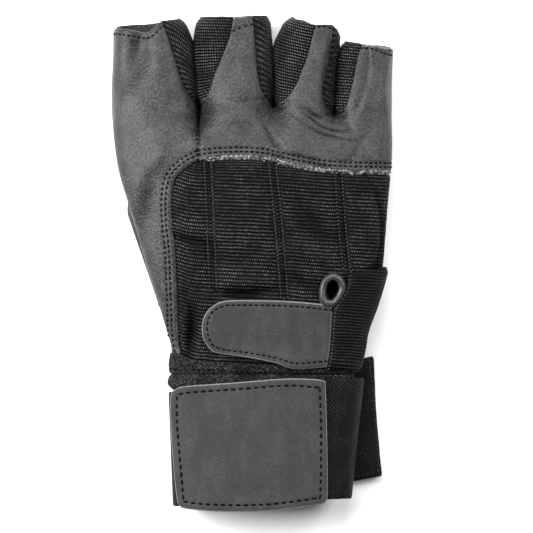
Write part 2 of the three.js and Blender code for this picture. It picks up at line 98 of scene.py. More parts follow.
FINGER_STATIONS: dict[str, Rows] = {
    "index": (
        (0.622, -0.496, -0.191, 0.140, 0.850), (0.737, -0.503, -0.193, 0.000, 0.830),
        (0.809, -0.503, -0.204, 0.000, 0.790), (0.866, -0.499, -0.211, 0.000, 0.760),
        (0.909, -0.497, -0.217, 0.000, 0.745), (0.958, -0.496, -0.239, 0.000, 0.740),
        (1.016, -0.494, -0.273, 0.000, 0.735),
    ),
    "middle": (
        (0.622, -0.191, 0.077, 0.140, 0.930), (0.737, -0.190, 0.075, 0.000, 0.890),
        (0.809, -0.196, 0.073, 0.000, 0.840), (0.866, -0.203, 0.070, 0.000, 0.800),
        (0.909, -0.204, 0.066, 0.000, 0.780), (0.958, -0.198, 0.061, 0.000, 0.770),
        (1.016, -0.184, 0.055, 0.000, 0.765),
    ),
    "ring": (
        (0.607, 0.077, 0.288, 0.150, 0.920), (0.737, 0.080, 0.286, 0.000, 0.880),
        (0.809, 0.082, 0.291, 0.000, 0.830), (0.866, 0.079, 0.299, 0.000, 0.790),
        (0.909, 0.081, 0.309, 0.000, 0.770), (0.953, 0.104, 0.314, 0.000, 0.760),
        (1.016, 0.148, 0.316, 0.000, 0.755),
    ),
    "little": (
        (0.607, 0.288, 0.504, 0.150, 0.800), (0.737, 0.296, 0.498, 0.000, 0.790),
        (0.809, 0.303, 0.498, 0.000, 0.750), (0.866, 0.310, 0.502, 0.000, 0.720),
        (0.909, 0.321, 0.505, 0.000, 0.710), (0.958, 0.334, 0.507, 0.000, 0.705),
    ),
}
STALL_STATIONS: Rows = (
    (0.00, -0.500, 0.500, 0.000, 0.860), (0.30, -0.470, 0.450, 0.000, 1.000),
    (0.65, -0.400, 0.360, 0.000, 1.000), (1.00, -0.370, 0.320, 0.000, 0.960),
)
STALL_BASE = (-0.405, 0.321)
PALM_LEVEL: Rows = (
    (-0.150, 0.480), (0.200, 0.480), (0.480, 0.470), (0.620, 0.350), (0.740, 0.240), (1.100, 0.230),
)

# Finger roots: across, along
CROTCHES: Rows = ((-0.191, 0.738), (0.077, 0.731), (0.288, 0.706))

# Seams and edges from above: across, along
INDEX_SEAM: Rows = (
    (-0.191, 0.738), (-0.212, 0.753), (-0.234, 0.777), (-0.259, 0.827), (-0.288, 0.901), (-0.320, 0.978),
)
MIDDLE_LEFT_SEAM: Rows = (
    (-0.191, 0.738), (-0.166, 0.751), (-0.145, 0.806), (-0.113, 0.866), (-0.080, 0.935), (-0.068, 0.988),
)
MIDDLE_RIGHT_SEAM: Rows = (
    (0.077, 0.731), (0.043, 0.760), (0.027, 0.800), (0.018, 0.849), (0.011, 0.909), (0.000, 0.991),
)
RING_LEFT_SEAM: Rows = (
    (0.077, 0.731), (0.109, 0.741), (0.152, 0.788), (0.179, 0.840), (0.202, 0.892), (0.224, 0.966),
)
RING_RIGHT_SEAM: Rows = (
    (0.288, 0.706), (0.259, 0.734), (0.250, 0.774), (0.261, 0.819), (0.273, 0.863), (0.282, 0.911),
    (0.289, 0.966),
)
LITTLE_SEAM: Rows = (
    (0.288, 0.706), (0.325, 0.722), (0.343, 0.760), (0.361, 0.819), (0.372, 0.866), (0.389, 0.911),
)
OPENING_EDGE: Rows = (
    (-0.255, 0.015), (-0.266, 0.083), (-0.270, 0.176), (-0.276, 0.319), (-0.286, 0.391),
    (-0.288, 0.469), (-0.273, 0.524), (-0.230, 0.558), (-0.186, 0.577),
)
SIDE_SEAM: Rows = ((-0.186, 0.577), (-0.189, 0.665), (-0.191, 0.738))
KNUCKLE_HEM: Rows = (
    (-0.186, 0.577), (-0.105, 0.583), (0.011, 0.583), (0.102, 0.569), (0.193, 0.554), (0.312, 0.543),
    (0.560, 0.540),
)
CUFF_LINE: Rows = (
    (-0.560, 0.026), (-0.286, 0.024), (-0.188, 0.003), (0.027, -0.009), (0.241, -0.020), (0.560, -0.026),
)
INDEX_END: Rows = (
    (-0.560, 0.958), (-0.480, 0.955), (-0.430, 0.948), (-0.388, 0.942), (-0.362, 0.948), (-0.343, 0.964),
    (-0.320, 0.978),
)
PALM_END: Rows = (
    (-0.560, 0.958), (-0.373, 0.973), (-0.223, 0.987), (-0.150, 0.992), (0.057, 0.996), (0.134, 0.992),
    (0.220, 0.970), (0.312, 0.945), (0.330, 0.924), (0.384, 0.914), (0.560, 0.898),
)

# Cut edges that show at the middle and little finger tips
TIP_CUTS: tuple[Rows, ...] = (
    ((-0.068, 0.988), (-0.034, 0.990), (0.000, 0.991)), ((0.389, 0.911), (0.450, 0.903), (0.505, 0.896)),
)

# Strap run: across, rise, lead, sway
STRAP_RUN: Rows = (
    (0.330, 0.860, 0.04, 0.00), (0.120, 0.868, -0.03, 0.00), (-0.120, 0.860, -0.10, 0.00),
    (-0.280, 0.790, -0.16, 0.00), (-0.366, 0.640, -0.18, -0.01), (-0.376, 0.400, -0.18, -0.01),
    (-0.335, 0.150, -0.17, -0.01), (-0.250, 0.0305, -0.14, 0.00), (-0.150, 0.0305, -0.09, 0.00),
    (0.100, 0.0305, 0.06, 0.00), (0.350, 0.0305, 0.22, 0.01), (0.550, 0.0305, 0.37, -0.02),
    (0.590, 0.078, 0.40, -0.02), (0.550, 0.126, 0.37, -0.02), (0.400, 0.122, 0.30, 0.00),
    (0.270, 0.122, 0.24, 0.00), (0.238, 0.166, 0.22, 0.00), (0.270, 0.210, 0.20, 0.00),
    (0.400, 0.214, 0.12, 0.01), (0.468, 0.300, 0.07, 0.02), (0.492, 0.500, 0.05, 0.03),
    (0.475, 0.700, 0.05, 0.02), (0.420, 0.830, 0.05, 0.01), (0.330, 0.912, 0.04, 0.00),
    (0.120, 0.945, -0.02, 0.00), (-0.120, 0.938, -0.08, 0.00), (-0.300, 0.862, -0.13, 0.00),
)


def plan(rows: Rows) -> np.ndarray:
    """Rows of across and along shares as points in mm."""
    return np.array(rows, float)[:, :2] * (HAND_WIDTH, HAND_LENGTH)


def smooth_path(points: np.ndarray, count: int) -> np.ndarray:
    """Draws a smooth line through points.

    Args:
        points: Places that the line passes through, one per row.
        count: How many evenly spaced places to return.

    Returns:
        Places along the line, count rows.
    """
    ends = np.vstack([2 * points[0] - points[1], points, 2 * points[-1] - points[-2]])
    share = np.linspace(0, 1, 17)[:-1, None]
    pieces = []
    for a, b, c, d in zip(ends[:-3], ends[1:-2], ends[2:-1], ends[3:]):
        pieces.append(0.5 * (2 * b + (c - a) * share + (2 * a - 5 * b + 4 * c - d) * share**2
                             + (3 * b - a - 3 * c + d) * share**3))
    line = np.vstack([*pieces, points[-1:]])
    reach = np.concatenate([[0], np.cumsum(np.linalg.norm(np.diff(line, axis=0), axis=1))])
    wanted = np.linspace(0, reach[-1], count)
    return np.stack([np.interp(wanted, reach, column) for column in line.T], axis=1)


def blend(rows: Rows, at: np.ndarray) -> np.ndarray:
    """Smooth values between the rows of a table.

    Args:
        rows: Table whose first column is the place and whose others are values.
        at: Places to read, any shape.

    Returns:
        The values, with a last axis for the table's columns.
    """
    table = np.array(rows, float)
    places, values = table[:, 0], table[:, 1:]
    slopes = np.gradient(values, places, axis=0)
    at = np.clip(at, places[0], places[-1])
    low = np.clip(np.searchsorted(places, at) - 1, 0, len(places) - 2)
    step = (places[low + 1] - places[low])[..., None]
    t = ((at - places[low]))[..., None] / step
    return ((1 + 2 * t) * (1 - t) ** 2 * values[low] + t * (1 - t) ** 2 * step * slopes[low]
            + t**2 * (3 - 2 * t) * values[low + 1] + t**2 * (t - 1) * step * slopes[low + 1])


def ease(value: np.ndarray, low: float, high: float) -> np.ndarray:
    """Smooth step from 0 at low to 1 at high."""
    t = np.clip((value - low) / (high - low), 0, 1)
    return t * t * (3 - 2 * t)


def mix(a: np.ndarray, b: np.ndarray, share: np.ndarray) -> np.ndarray:
    """Value at a share of the way from a to b."""
    return a + (b - a) * share


def fan(start: float, end: float, share: np.ndarray) -> np.ndarray:
    """Places from start to end that close up towards the end."""
    return start + (end - start) * np.sin(math.pi * share / 2)


def squared(wave: np.ndarray, roundness: float) -> np.ndarray:
    """Sine or cosine of a turn, drawn out to a squared oval."""
    return np.sign(wave) * np.abs(wave) ** (2 / roundness)


def ring_height(lift: np.ndarray, floor: np.ndarray, level: np.ndarray, roof: np.ndarray) -> np.ndarray:
    """Height of a ring's places: the floor at a lift of -1, the level at 0, the roof at 1."""
    under = np.maximum(level + lift * (level - floor + SAG), floor)
    return np.where(lift > 0, level + lift * (roof - level), under)


def search_tree(places: np.ndarray) -> KDTree:
    """Search tree of places; one in plan gets a height of 0."""
    tree = KDTree(len(places))
    for number, place in enumerate(places):
        tree.insert((*place, 0.0)[:3], number)
    tree.balance()
    return tree


def reach_to(line: np.ndarray, points: np.ndarray) -> np.ndarray:
    """Distance in plan from each point to a line, in mm."""
    tree = search_tree(line)
    return np.array([tree.find((x, y, 0.0))[2] for x, y, _ in points])


def beside(rows: Rows, points: np.ndarray) -> tuple[np.ndarray, np.ndarray]:
    """Places points beside a line that runs along the hand.

    Args:
        rows: Line from above: across, along.
        points: Places in mm.

    Returns:
        How far each point lies to the right of the line, and a share that rises to 1 at the line's lower end.
    """
    line = smooth_path(plan(rows), 60)
    order = np.argsort(line[:, 1])
    low = line[:, 1].min()
    away = points[:, 0] - np.interp(points[:, 1], line[order, 1], line[order, 0])
    return away, ease(points[:, 1], low - 2, low)


@dataclass(frozen=True)
class Sleeve:
    """Flattened tube along Y with squared-oval sections.

    Attributes:
        stations: Table of along, left, right, under and crown shares.
        roundness: Power of the section: 2 is an ellipse, more is squarer.
    """

    stations: Rows
    roundness: float

    def sizes(self, y: np.ndarray) -> tuple[np.ndarray, ...]:
        """Middle, half width, floor, level and roof in mm at each y."""
        values = blend(self.stations, y / HAND_LENGTH)
        left, right = values[..., 0] * HAND_WIDTH, values[..., 1] * HAND_WIDTH
        floor = np.maximum(values[..., 2], 0) * GLOVE_HEIGHT
        roof = values[..., 3] * GLOVE_HEIGHT
        return (left + right) / 2, (right - left) / 2, floor, floor + LEVEL_SHARE * (roof - floor), roof

    def dome(self, x: np.ndarray, y: np.ndarray) -> np.ndarray:
        """How far a place is up the dome of the section, 0 at the sides and 1 at the middle."""
        middle, half, *_ = self.sizes(y)
        ratio = np.clip(np.abs(x - middle) / half, 0, 1)
        return (1 - ratio**self.roundness) ** (1 / self.roundness)

    def top(self, x: np.ndarray, y: np.ndarray) -> np.ndarray:
        """Height of the upper side."""
        *_, level, roof = self.sizes(y)
        return level + (roof - level) * self.dome(x, y)

    def low(self, x: np.ndarray, y: np.ndarray) -> np.ndarray:
        """Height of the lower side."""
        _, _, floor, level, _ = self.sizes(y)
        return np.maximum(level - (level - floor + SAG) * self.dome(x, y), floor)

    def tuck(self, z: np.ndarray, y: np.ndarray) -> np.ndarray:
        """How far the lower side wall has drawn in from its widest place at a height."""
        _, half, floor, level, _ = self.sizes(y)
        drop = np.clip((level - z) / (level - floor + SAG), 0, 0.999)
        return half * (1 - (1 - drop**self.roundness) ** (1 / self.roundness))


@dataclass(frozen=True)
class HandForm:
    """Whole outer form of the hand, which turns from one sleeve into four at the finger roots.

    Attributes:
        palm: Sleeve of the hand.
        fingers: Sleeves of the index, middle, ring and little fingers.
        roots: Places between neighbouring fingers where they part.
    """

    palm: Sleeve = Sleeve(HAND_STATIONS, HAND_ROUNDNESS)
    fingers: tuple[Sleeve, ...] = tuple(Sleeve(rows, FINGER_ROUNDNESS) for rows in FINGER_STATIONS.values())
    roots: np.ndarray = field(default_factory=lambda: plan(CROTCHES))

    def parting(self, y: np.ndarray) -> np.ndarray:
        """0 where the hand is one sleeve, 1 where it is four."""
        return ease(y / HAND_LENGTH, 0.60, 0.752)

    def top(self, x: np.ndarray, y: np.ndarray) -> np.ndarray:
        """Height of the back of the hand."""
        fingers = np.max([finger.top(x, y) for finger in self.fingers], axis=0)
        return mix(self.palm.top(x, y), fingers, self.parting(y))

    def low(self, x: np.ndarray, y: np.ndarray) -> np.ndarray:
        """Height of the palm side, no higher than the line where the palm leather stops."""
        fingers = np.min([finger.low(x, y) for finger in self.fingers], axis=0)
        return np.minimum(mix(self.palm.low(x, y), fingers, self.parting(y)), self.split(y))

    def split(self, y: np.ndarray) -> np.ndarray:
        """Height where the palm leather stops."""
        return blend(PALM_LEVEL, y / HAND_LENGTH)[..., 0] * GLOVE_HEIGHT

    def edge(self, finger: int, side: int, y: np.ndarray) -> np.ndarray:
        """Widest place of a finger's side, which meets its neighbour at their root.

        Args:
            finger: 0 for the index finger to 3 for the little finger.
            side: -1 for the left side, 1 for the right.
            y: Places along the hand.

        Returns:
            X in mm.
        """
        middle, half, *_ = self.fingers[finger].sizes(y)
        own = middle + side * half
        neighbour = finger if side > 0 else finger - 1
        if neighbour < 0 or neighbour > 2:
            palm_middle, palm_half, *_ = self.palm.sizes(y)
            return mix(palm_middle + side * palm_half, own, self.parting(y))
        root = self.roots[neighbour]
        return mix(np.full_like(own, root[0]), own, ease(y, root[1], root[1] + 4.0))

    def edge_at(self, finger: int, side: int, y: float) -> float:
        """Widest place of a finger's side at one place along the hand."""
        return float(self.edge(finger, side, np.array(y)))

    def foot_at(self, finger: int, side: int, y: float) -> float:
        """X where the palm leather stops on a finger's side, at one place along the hand."""
        return float(self.wall(finger, side, np.array(y), np.array(0.0))[0])

    def wall(self, finger: int, side: int, y: np.ndarray, share: np.ndarray) -> np.ndarray:
        """Point on the side of a finger between the palm leather and its widest place.

        Args:
            finger: 0 for the index finger to 3 for the little finger.
            side: -1 for the left side, 1 for the right.
            y: Places along the hand.
            share: 0 at the palm leather, 1 at the widest place.

        Returns:
            Points with a last axis of x, y, z.
        """
        edge = self.edge(finger, side, y)
        z = mix(self.split(y), self.top(edge, y), share)
        outside = (finger, side) in ((0, -1), (3, 1))
        tuck = self.fingers[finger].tuck(z, y)
        if outside:
            tuck = mix(self.palm.tuck(z, y), tuck, self.parting(y))
        return np.stack([edge - side * tuck, y, z], axis=-1)

    def above(self, x: np.ndarray, y: np.ndarray) -> np.ndarray:
        """Points on the back of the hand."""
        return np.stack([x, y, self.top(x, y)], axis=-1)


FORM = HandForm()


@dataclass
class Skin:
    """Open or ring-shaped surface of quads, in mm.

    Attributes:
        points: Corner places, one per row.
        faces: Four corner numbers per face.
        run: Distance along each row of the grid, for weaves.
        cross: Distance across the rows of the grid, for weaves.
    """

    points: np.ndarray
    faces: np.ndarray
    run: np.ndarray
    cross: np.ndarray

    @staticmethod
    def from_blocks(blocks: Sequence[np.ndarray], ring: bool = False) -> "Skin":
        """Makes one skin of grids that share their borders.

        Args:
            blocks: Arrays of rows by columns by x, y, z.
            ring: Whether each row closes on itself.

        Returns:
            The skin, with shared corners welded.
        """
        points, faces, run, cross, start = [], [], [], [], 0
        for block in blocks:
            rows, columns, _ = block.shape
            lengths = np.linalg.norm(np.diff(block, axis=1), axis=2)
            heights = np.linalg.norm(np.diff(block, axis=0), axis=2)
            run.append(np.pad(np.cumsum(lengths, axis=1), ((0, 0), (1, 0))).ravel())
            cross.append(np.pad(np.cumsum(heights, axis=0), ((1, 0), (0, 0))).ravel())
            index = np.arange(rows * columns).reshape(rows, columns) + start
            right = np.roll(index, -1, axis=1) if ring else index[:, 1:]
            left = index if ring else index[:, :-1]
            faces.append(np.stack([left[:-1], right[:-1], right[1:], left[1:]], axis=-1).reshape(-1, 4))
            points.append(block.reshape(-1, 3))
            start += rows * columns
        skin = Skin(np.vstack(points), np.vstack(faces), np.concatenate(run), np.concatenate(cross))
        return skin.welded()

    def welded(self, reach: float = 0.03) -> "Skin":
        """Joins corners that lie within reach of each other."""
        tree = search_tree(self.points)
        target = np.full(len(self.points), -1)
        for number, place in enumerate(self.points):
            if target[number] < 0:
                for _, other, _ in tree.find_range(place, reach):
                    if target[other] < 0:
                        target[other] = number
        kept, compact = np.unique(target, return_inverse=True)
        faces = compact[self.faces]
        return Skin(self.points[kept], faces, self.run[kept], self.cross[kept])

    def normals(self) -> np.ndarray:
        """Unit normal at each corner."""
        a, b, c, d = (self.points[self.faces[:, k]] for k in range(4))
        facing = np.cross(c - a, d - b)
        total = np.zeros_like(self.points)
        for k in range(4):
            np.add.at(total, self.faces[:, k], facing)
        return total / np.maximum(np.linalg.norm(total, axis=1, keepdims=True), 1e-9)

    def border(self) -> np.ndarray:
        """Directed border edges as pairs of corner numbers."""
        pairs = np.vstack([self.faces[:, [k, (k + 1) % 4]] for k in range(4)])
        pairs = pairs[pairs[:, 0] != pairs[:, 1]]
        size = len(self.points)
        forward = pairs[:, 0] * size + pairs[:, 1]
        backward = pairs[:, 1] * size + pairs[:, 0]
        return pairs[~np.isin(forward, backward)]

    def rim(self) -> np.ndarray:
        """Distance of each corner from the border, up to the reach."""
        tree = search_tree(self.points[np.unique(self.border())])
        return np.array([min(tree.find(place)[2], RIM_REACH) for place in self.points])

    def relaxed(self, times: int) -> "Skin":
        """Smooths the skin between its borders a number of times."""
        pairs = np.vstack([self.faces[:, [k, (k + 1) % 4]] for k in range(4)])
        pairs = pairs[pairs[:, 0] != pairs[:, 1]]
        count = np.zeros(len(self.points))
        for k in range(2):
            np.add.at(count, pairs[:, k], 1)
        free = np.ones(len(self.points), bool)
        free[np.unique(self.border())] = False
        points = self.points.copy()
        for _ in range(times):
            total = np.zeros_like(points)
            np.add.at(total, pairs[:, 0], points[pairs[:, 1]])
            np.add.at(total, pairs[:, 1], points[pairs[:, 0]])
            points[free] = (total / count[:, None])[free]
        return Skin(points, self.faces, self.run, self.cross)

    def area(self) -> float:
        """Area in square mm."""
        a, b, c, d = (self.points[self.faces[:, k]] for k in range(4))
        return float(np.linalg.norm(np.cross(c - a, d - b), axis=1).sum() / 2)


@dataclass(frozen=True)
class Fold:
    """One soft dent or ridge, placed from above.

    Attributes:
        across: Place as a share of the hand's width.
        along: Place as a share of the hand's length.
        turn: Direction of its line in degrees from +X.
        length: Half length in mm.
        width: Half width in mm.
        depth: Height in mm, below zero for a dent.
    """

    across: float
    along: float
    turn: float
    length: float
    width: float
    depth: float

    def lift(self, points: np.ndarray) -> np.ndarray:
        """Height in mm that the fold adds at each point."""
        dx = points[:, 0] - self.across * HAND_WIDTH
        dy = points[:, 1] - self.along * HAND_LENGTH
        turn = math.radians(self.turn)
        u = dx * math.cos(turn) + dy * math.sin(turn)
        v = dy * math.cos(turn) - dx * math.sin(turn)
        bow = v + 0.012 * u * u * math.copysign(1, self.depth)
        return self.depth * np.exp(-((u / self.length) ** 2) - (bow / self.width) ** 2)


def folds_of(rows: Rows) -> tuple[Fold, ...]:
    """Folds of a table's rows."""
    return tuple(Fold(*row) for row in rows)


def inset(line: np.ndarray, distance: float) -> np.ndarray:
    """Line beside another one in plan.

    Args:
        line: Places in plan.
        distance: How far to the left of the line's direction, in mm.

    Returns:
        The places moved sideways.
    """
    heading = np.gradient(line, axis=0)
    heading /= np.maximum(np.linalg.norm(heading, axis=1, keepdims=True), 1e-9)
    return line + distance * np.stack([-heading[:, 1], heading[:, 0]], axis=1)


@dataclass(frozen=True)
class SeamLine:
    """One row of stitches, seen from above.

    Attributes:
        rows: Line that the stitches follow: across, along.
        shift: How far to the left of that line they lie, in mm.
        trim: How many of the places are left off at each end.
    """

    rows: Rows
    shift: float = 0.0
    trim: int = 0

    def line(self) -> np.ndarray:
        """Places along the row in plan, in mm, without the loops of a shifted row at sharp corners."""
        base = smooth_path(plan(self.rows), 260)
        places = inset(base, self.shift)[self.trim:len(base) - self.trim]
        away = np.linalg.norm(places[:, None] - base[None], axis=2).min(axis=1)
        return places[away >= 0.9 * abs(self.shift)]


# Half the distance between the two stitch rows of a channel, in mm
CHANNEL_HALF = 1.4

# How much painted shade a dent of 1 mm and a channel get, as shares
DENT_SHADE = 0.35
CHANNEL_SHADE = 0.85

# Slow unevenness of cloth: length of a wave in mm, direction in degrees
WAVES: Rows = ((9.0, 20), (6.1, 75), (13.0, 130), (4.3, 160), (7.4, 100))


@dataclass(frozen=True)
class Relief:
    """Low forms of a panel: folds, ripples, sewn channels and the tuck at its seams.

    Attributes:
        folds: Folds of the panel.
        ripple: Height of the slow unevenness in mm.
        channels: Double-stitched lines on the panel, from above.
        grooves: Lines in plan along which stitches pull the surface in.
        bands: Ridges or grooves across the hand: share of its length, half width and height in mm.
        tuck: Depth in mm to which the border is drawn in.
        tuck_width: How far the tuck reaches from the border, in mm.
        hem: Height in mm of the turned hem beside the border.
        puff: How far the panel swells between its borders, in mm.
    """

    folds: tuple[Fold, ...] = ()
    ripple: float = 0.12
    channels: tuple[Rows, ...] = ()
    grooves: tuple["SeamLine", ...] = ()
    bands: Rows = ()
    tuck: float = 0.35
    tuck_width: float = 0.9
    hem: float = 0.0
    puff: float = 0.0

    def painted_crease_shade(self, points: np.ndarray) -> np.ndarray:
        """How much painted shade each point gets in a channel or a deep dent, 0 to 1."""
        total = -sum((fold.lift(points) for fold in self.folds), np.zeros(len(points))) * DENT_SHADE
        for rows in self.channels:
            away, reach = beside(rows, points)
            sides = np.exp(-(((np.abs(away) - CHANNEL_HALF) / 0.9) ** 2))
            total = total + CHANNEL_SHADE * reach * (sides + 0.5 * np.exp(-((away / 0.8) ** 2)))
        return np.clip(total, 0, 0.9)

    def lift(self, points: np.ndarray, rim: np.ndarray, facing: np.ndarray) -> np.ndarray:
        """Height in mm along the normal at each point."""
        upward = np.clip(facing[:, 2] * 2.0, 0, 1)
        total = sum((fold.lift(points) for fold in self.folds), np.zeros(len(points))) * upward
        for number, (wave, turn) in enumerate(WAVES):
            angle = math.radians(turn)
            phase = (points[:, 0] * math.cos(angle) + points[:, 1] * math.sin(angle)) / wave
            phase = phase + number * 1.7 + np.sin(points[:, 1] / 11 + number)
            total = total + self.ripple * 0.4 * np.sin(phase)
        for rows in self.channels:
            away, share = beside(rows, points)
            side = np.abs(away)
            pair = 0.7 * np.exp(-((away / 0.7) ** 2)) - 0.6 * np.exp(-(((side - CHANNEL_HALF) / 0.5) ** 2))
            pucker = 0.16 * np.sin(points[:, 1] * 2.1 + 8) * np.exp(-(((side - 3.0) / 1.8) ** 2))
            total = total + share * upward * (pair + pucker - 1.2 * np.exp(-((away / 3.6) ** 2)))
        for seam in self.grooves:
            total = total - 0.3 * np.exp(-((reach_to(seam.line(), points) / 0.6) ** 2)) * upward
        for place, half_width, height in self.bands:
            total = total + height * np.exp(-(((points[:, 1] - place * HAND_LENGTH) / half_width) ** 2))
        total = total - self.tuck * np.exp(-((rim / self.tuck_width) ** 2))
        total = total + self.puff * (1 - np.exp(-((rim / 2.6) ** 2)))
        return total + self.hem * np.exp(-(((rim - 2.6) / 1.6) ** 2))


# Border of a sheet: reach of the rim distance, how far it is drawn in, how far it bulges, in mm
RIM_REACH = 12.0
DRAW_IN = 0.08
BULGE = 0.14

# Least height of a piece above the floor, in mm
CLEARANCE = 0.02


def thicken(skin: Skin, wall: float, relief: Relief, offset: float = 0.0) -> tuple[np.ndarray, ...]:
    """Turns a skin into a closed sheet with rounded borders.

    Args:
        skin: Outer surface before its relief.
        wall: Thickness in mm.
        relief: Low forms added to the outer surface.
        offset: How far the outer surface is moved outwards first, in mm.

    Returns:
        Points, faces, and for each point its rim distance, run and cross values.
    """
    facing = skin.normals()
    rim = skin.rim()
    lift = relief.lift(skin.points, rim, facing) + offset
    outer = skin.points + facing * lift[:, None]
    inner = outer - facing * wall
    edges = skin.border()
    corners = np.unique(edges)
    outward = np.zeros_like(outer)
    side = np.cross(outer[edges[:, 1]] - outer[edges[:, 0]], facing[edges[:, 0]])
    for k in range(2):
        np.add.at(outward, edges[:, k], side)
    outward = outward[corners]
    outward = outward / np.maximum(np.linalg.norm(outward, axis=1, keepdims=True), 1e-9)
    for surface in (outer, inner):
        surface[corners] -= outward * DRAW_IN
    middle = (outer[corners] + inner[corners]) / 2
    count = len(outer)
    rings = []
    for angle in (45, 90, 135):
        turn = math.radians(angle)
        rings.append(middle + facing[corners] * (wall / 2 * math.cos(turn))
                     + outward * (BULGE * math.sin(turn)))
    place = np.full(count, -1)
    place[corners] = np.arange(len(corners))
    levels = [np.arange(count), *(2 * count + k * len(corners) + place for k in range(3)),
              np.arange(count) + count]
    faces = [skin.faces, skin.faces[:, ::-1] + count]
    start, end = edges.T
    for upper, lower in zip(levels[:-1], levels[1:]):
        faces.append(np.stack([upper[end], upper[start], lower[start], lower[end]], axis=-1))
    carried = [np.concatenate([values, values, *[values[corners]] * 3])
               for values in (rim, skin.run, skin.cross)]
    return np.vstack([outer, inner, *rings]), np.vstack(faces), *carried


def make_mesh(name: str, points: np.ndarray, faces: np.ndarray,
              values: dict[str, np.ndarray]) -> bpy.types.Object:
    """Makes a smooth object of points in mm.

    Args:
        name: Name of the piece.
        points: Corner places in the solids' own frame.
        faces: Corner numbers of each face; repeated corners are dropped.
        values: Named numbers to keep on the corners.

    Returns:
        The new object, linked to the scene.
    """
    clean = []
    for face in faces.tolist():
        corners = [c for k, c in enumerate(face) if c != face[k - 1]]
        if len(corners) > 2 and len(set(corners)) == len(corners):
            clean.append(corners)
    mesh = bpy.data.meshes.new(name)
    mesh.from_pydata(((points + ORIGIN) * MM).tolist(), [], clean)
    for label, numbers in values.items():
        kept = mesh.attributes.new(label, "FLOAT", "POINT")
        kept.data.foreach_set("value", np.asarray(numbers, np.float32))
    mesh.shade_smooth()
    mesh.validate()
    made = bpy.data.objects.new(name, mesh)
    bpy.context.scene.collection.objects.link(made)
    return made


# Least width in mm that a flat cut is given
NARROWEST = 10.2


class Hold(Enum):
    """How a sheet is held."""

    LAID = "laid"
    STRETCHED = "stretched"
    FOLDED = "folded"


@dataclass
class SheetPiece:
    """One sewn panel or band: builds the object.

    Attributes:
        name: Name of the piece.
        node: Solid that it replaces.
        slot: Material slot of the record; not used.
        wall: Thickness in mm.
        hold: How the sheet is held; not used.
        rests_on: Nodes that carry it.
        relief: Low forms of its outer side.
        raw: Lines in plan along which the cut edge shows; None stands for the whole border.
        fill: Share of the flat rectangle that the cut fills.
    """

    name: str
    node: str
    slot: str
    wall: float
    hold: Hold = Hold.STRETCHED
    rests_on: tuple[str, ...] = ("palm_leather",)
    relief: Relief = Relief()
    raw: tuple[Rows, ...] | None = None
    fill: float = 0.85

    def raw_edge(self, points: np.ndarray, rim: np.ndarray) -> np.ndarray:
        """Distance of each point from the cut edges that show, in mm."""
        if self.raw is None:
            return rim
        away = np.full(len(points), RIM_REACH)
        for rows in self.raw:
            away = np.minimum(away, reach_to(smooth_path(plan(rows), 400), points))
        return away

    def make(self, skin: Skin, material: bpy.types.Material, offset: float = 0.0,
             length: float | None = None) -> bpy.types.Object:
        """Args:
            skin: Outer surface in mm.
            material: Finish of the piece.
            offset: How far the outer surface stands off the skin, in mm.
            length: Length of the flat cut in mm, if it isn't the piece's length along the hand.

        Returns:
            The finished object.
        """
        points, faces, rim, run, cross = thicken(skin, self.wall, self.relief, offset)
        points[:, 2] = np.maximum(points[:, 2], CLEARANCE)
        raw = self.raw_edge(points, rim)
        # Painted shade for dents and channels, kept on the corners for the finishes
        painted_crease_shade = self.relief.painted_crease_shade(points)
        piece = make_mesh(self.name, points, faces, {"run": run, "cross": cross, "raw": raw, "painted_crease_shade": painted_crease_shade})
        piece.data.materials.append(material)
        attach(piece, "root")
        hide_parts(self.node)
        area = skin.area()
        length = length or float(np.ptp(skin.points[:, 1]))
        width = max(area / length / self.fill, NARROWEST)
        carried = [node for node in self.rests_on if node != self.node]
        LOG.info("%s: %d faces, flat %.0f by %.0f mm, area %.0f mm2",
                 self.name, len(faces), width, length, area)
        return piece


def line_at(rows: Rows, x: np.ndarray) -> np.ndarray:
    """Y of a cross line at each x."""
    line = smooth_path(plan(rows), 80)
    order = np.argsort(line[:, 0])
    return np.interp(x, line[order, 0], line[order, 1])


def root_line(x: np.ndarray) -> np.ndarray:
    """Y of the line through the finger roots."""
    places = FORM.roots
    return np.interp(x, places[:, 0], places[:, 1])


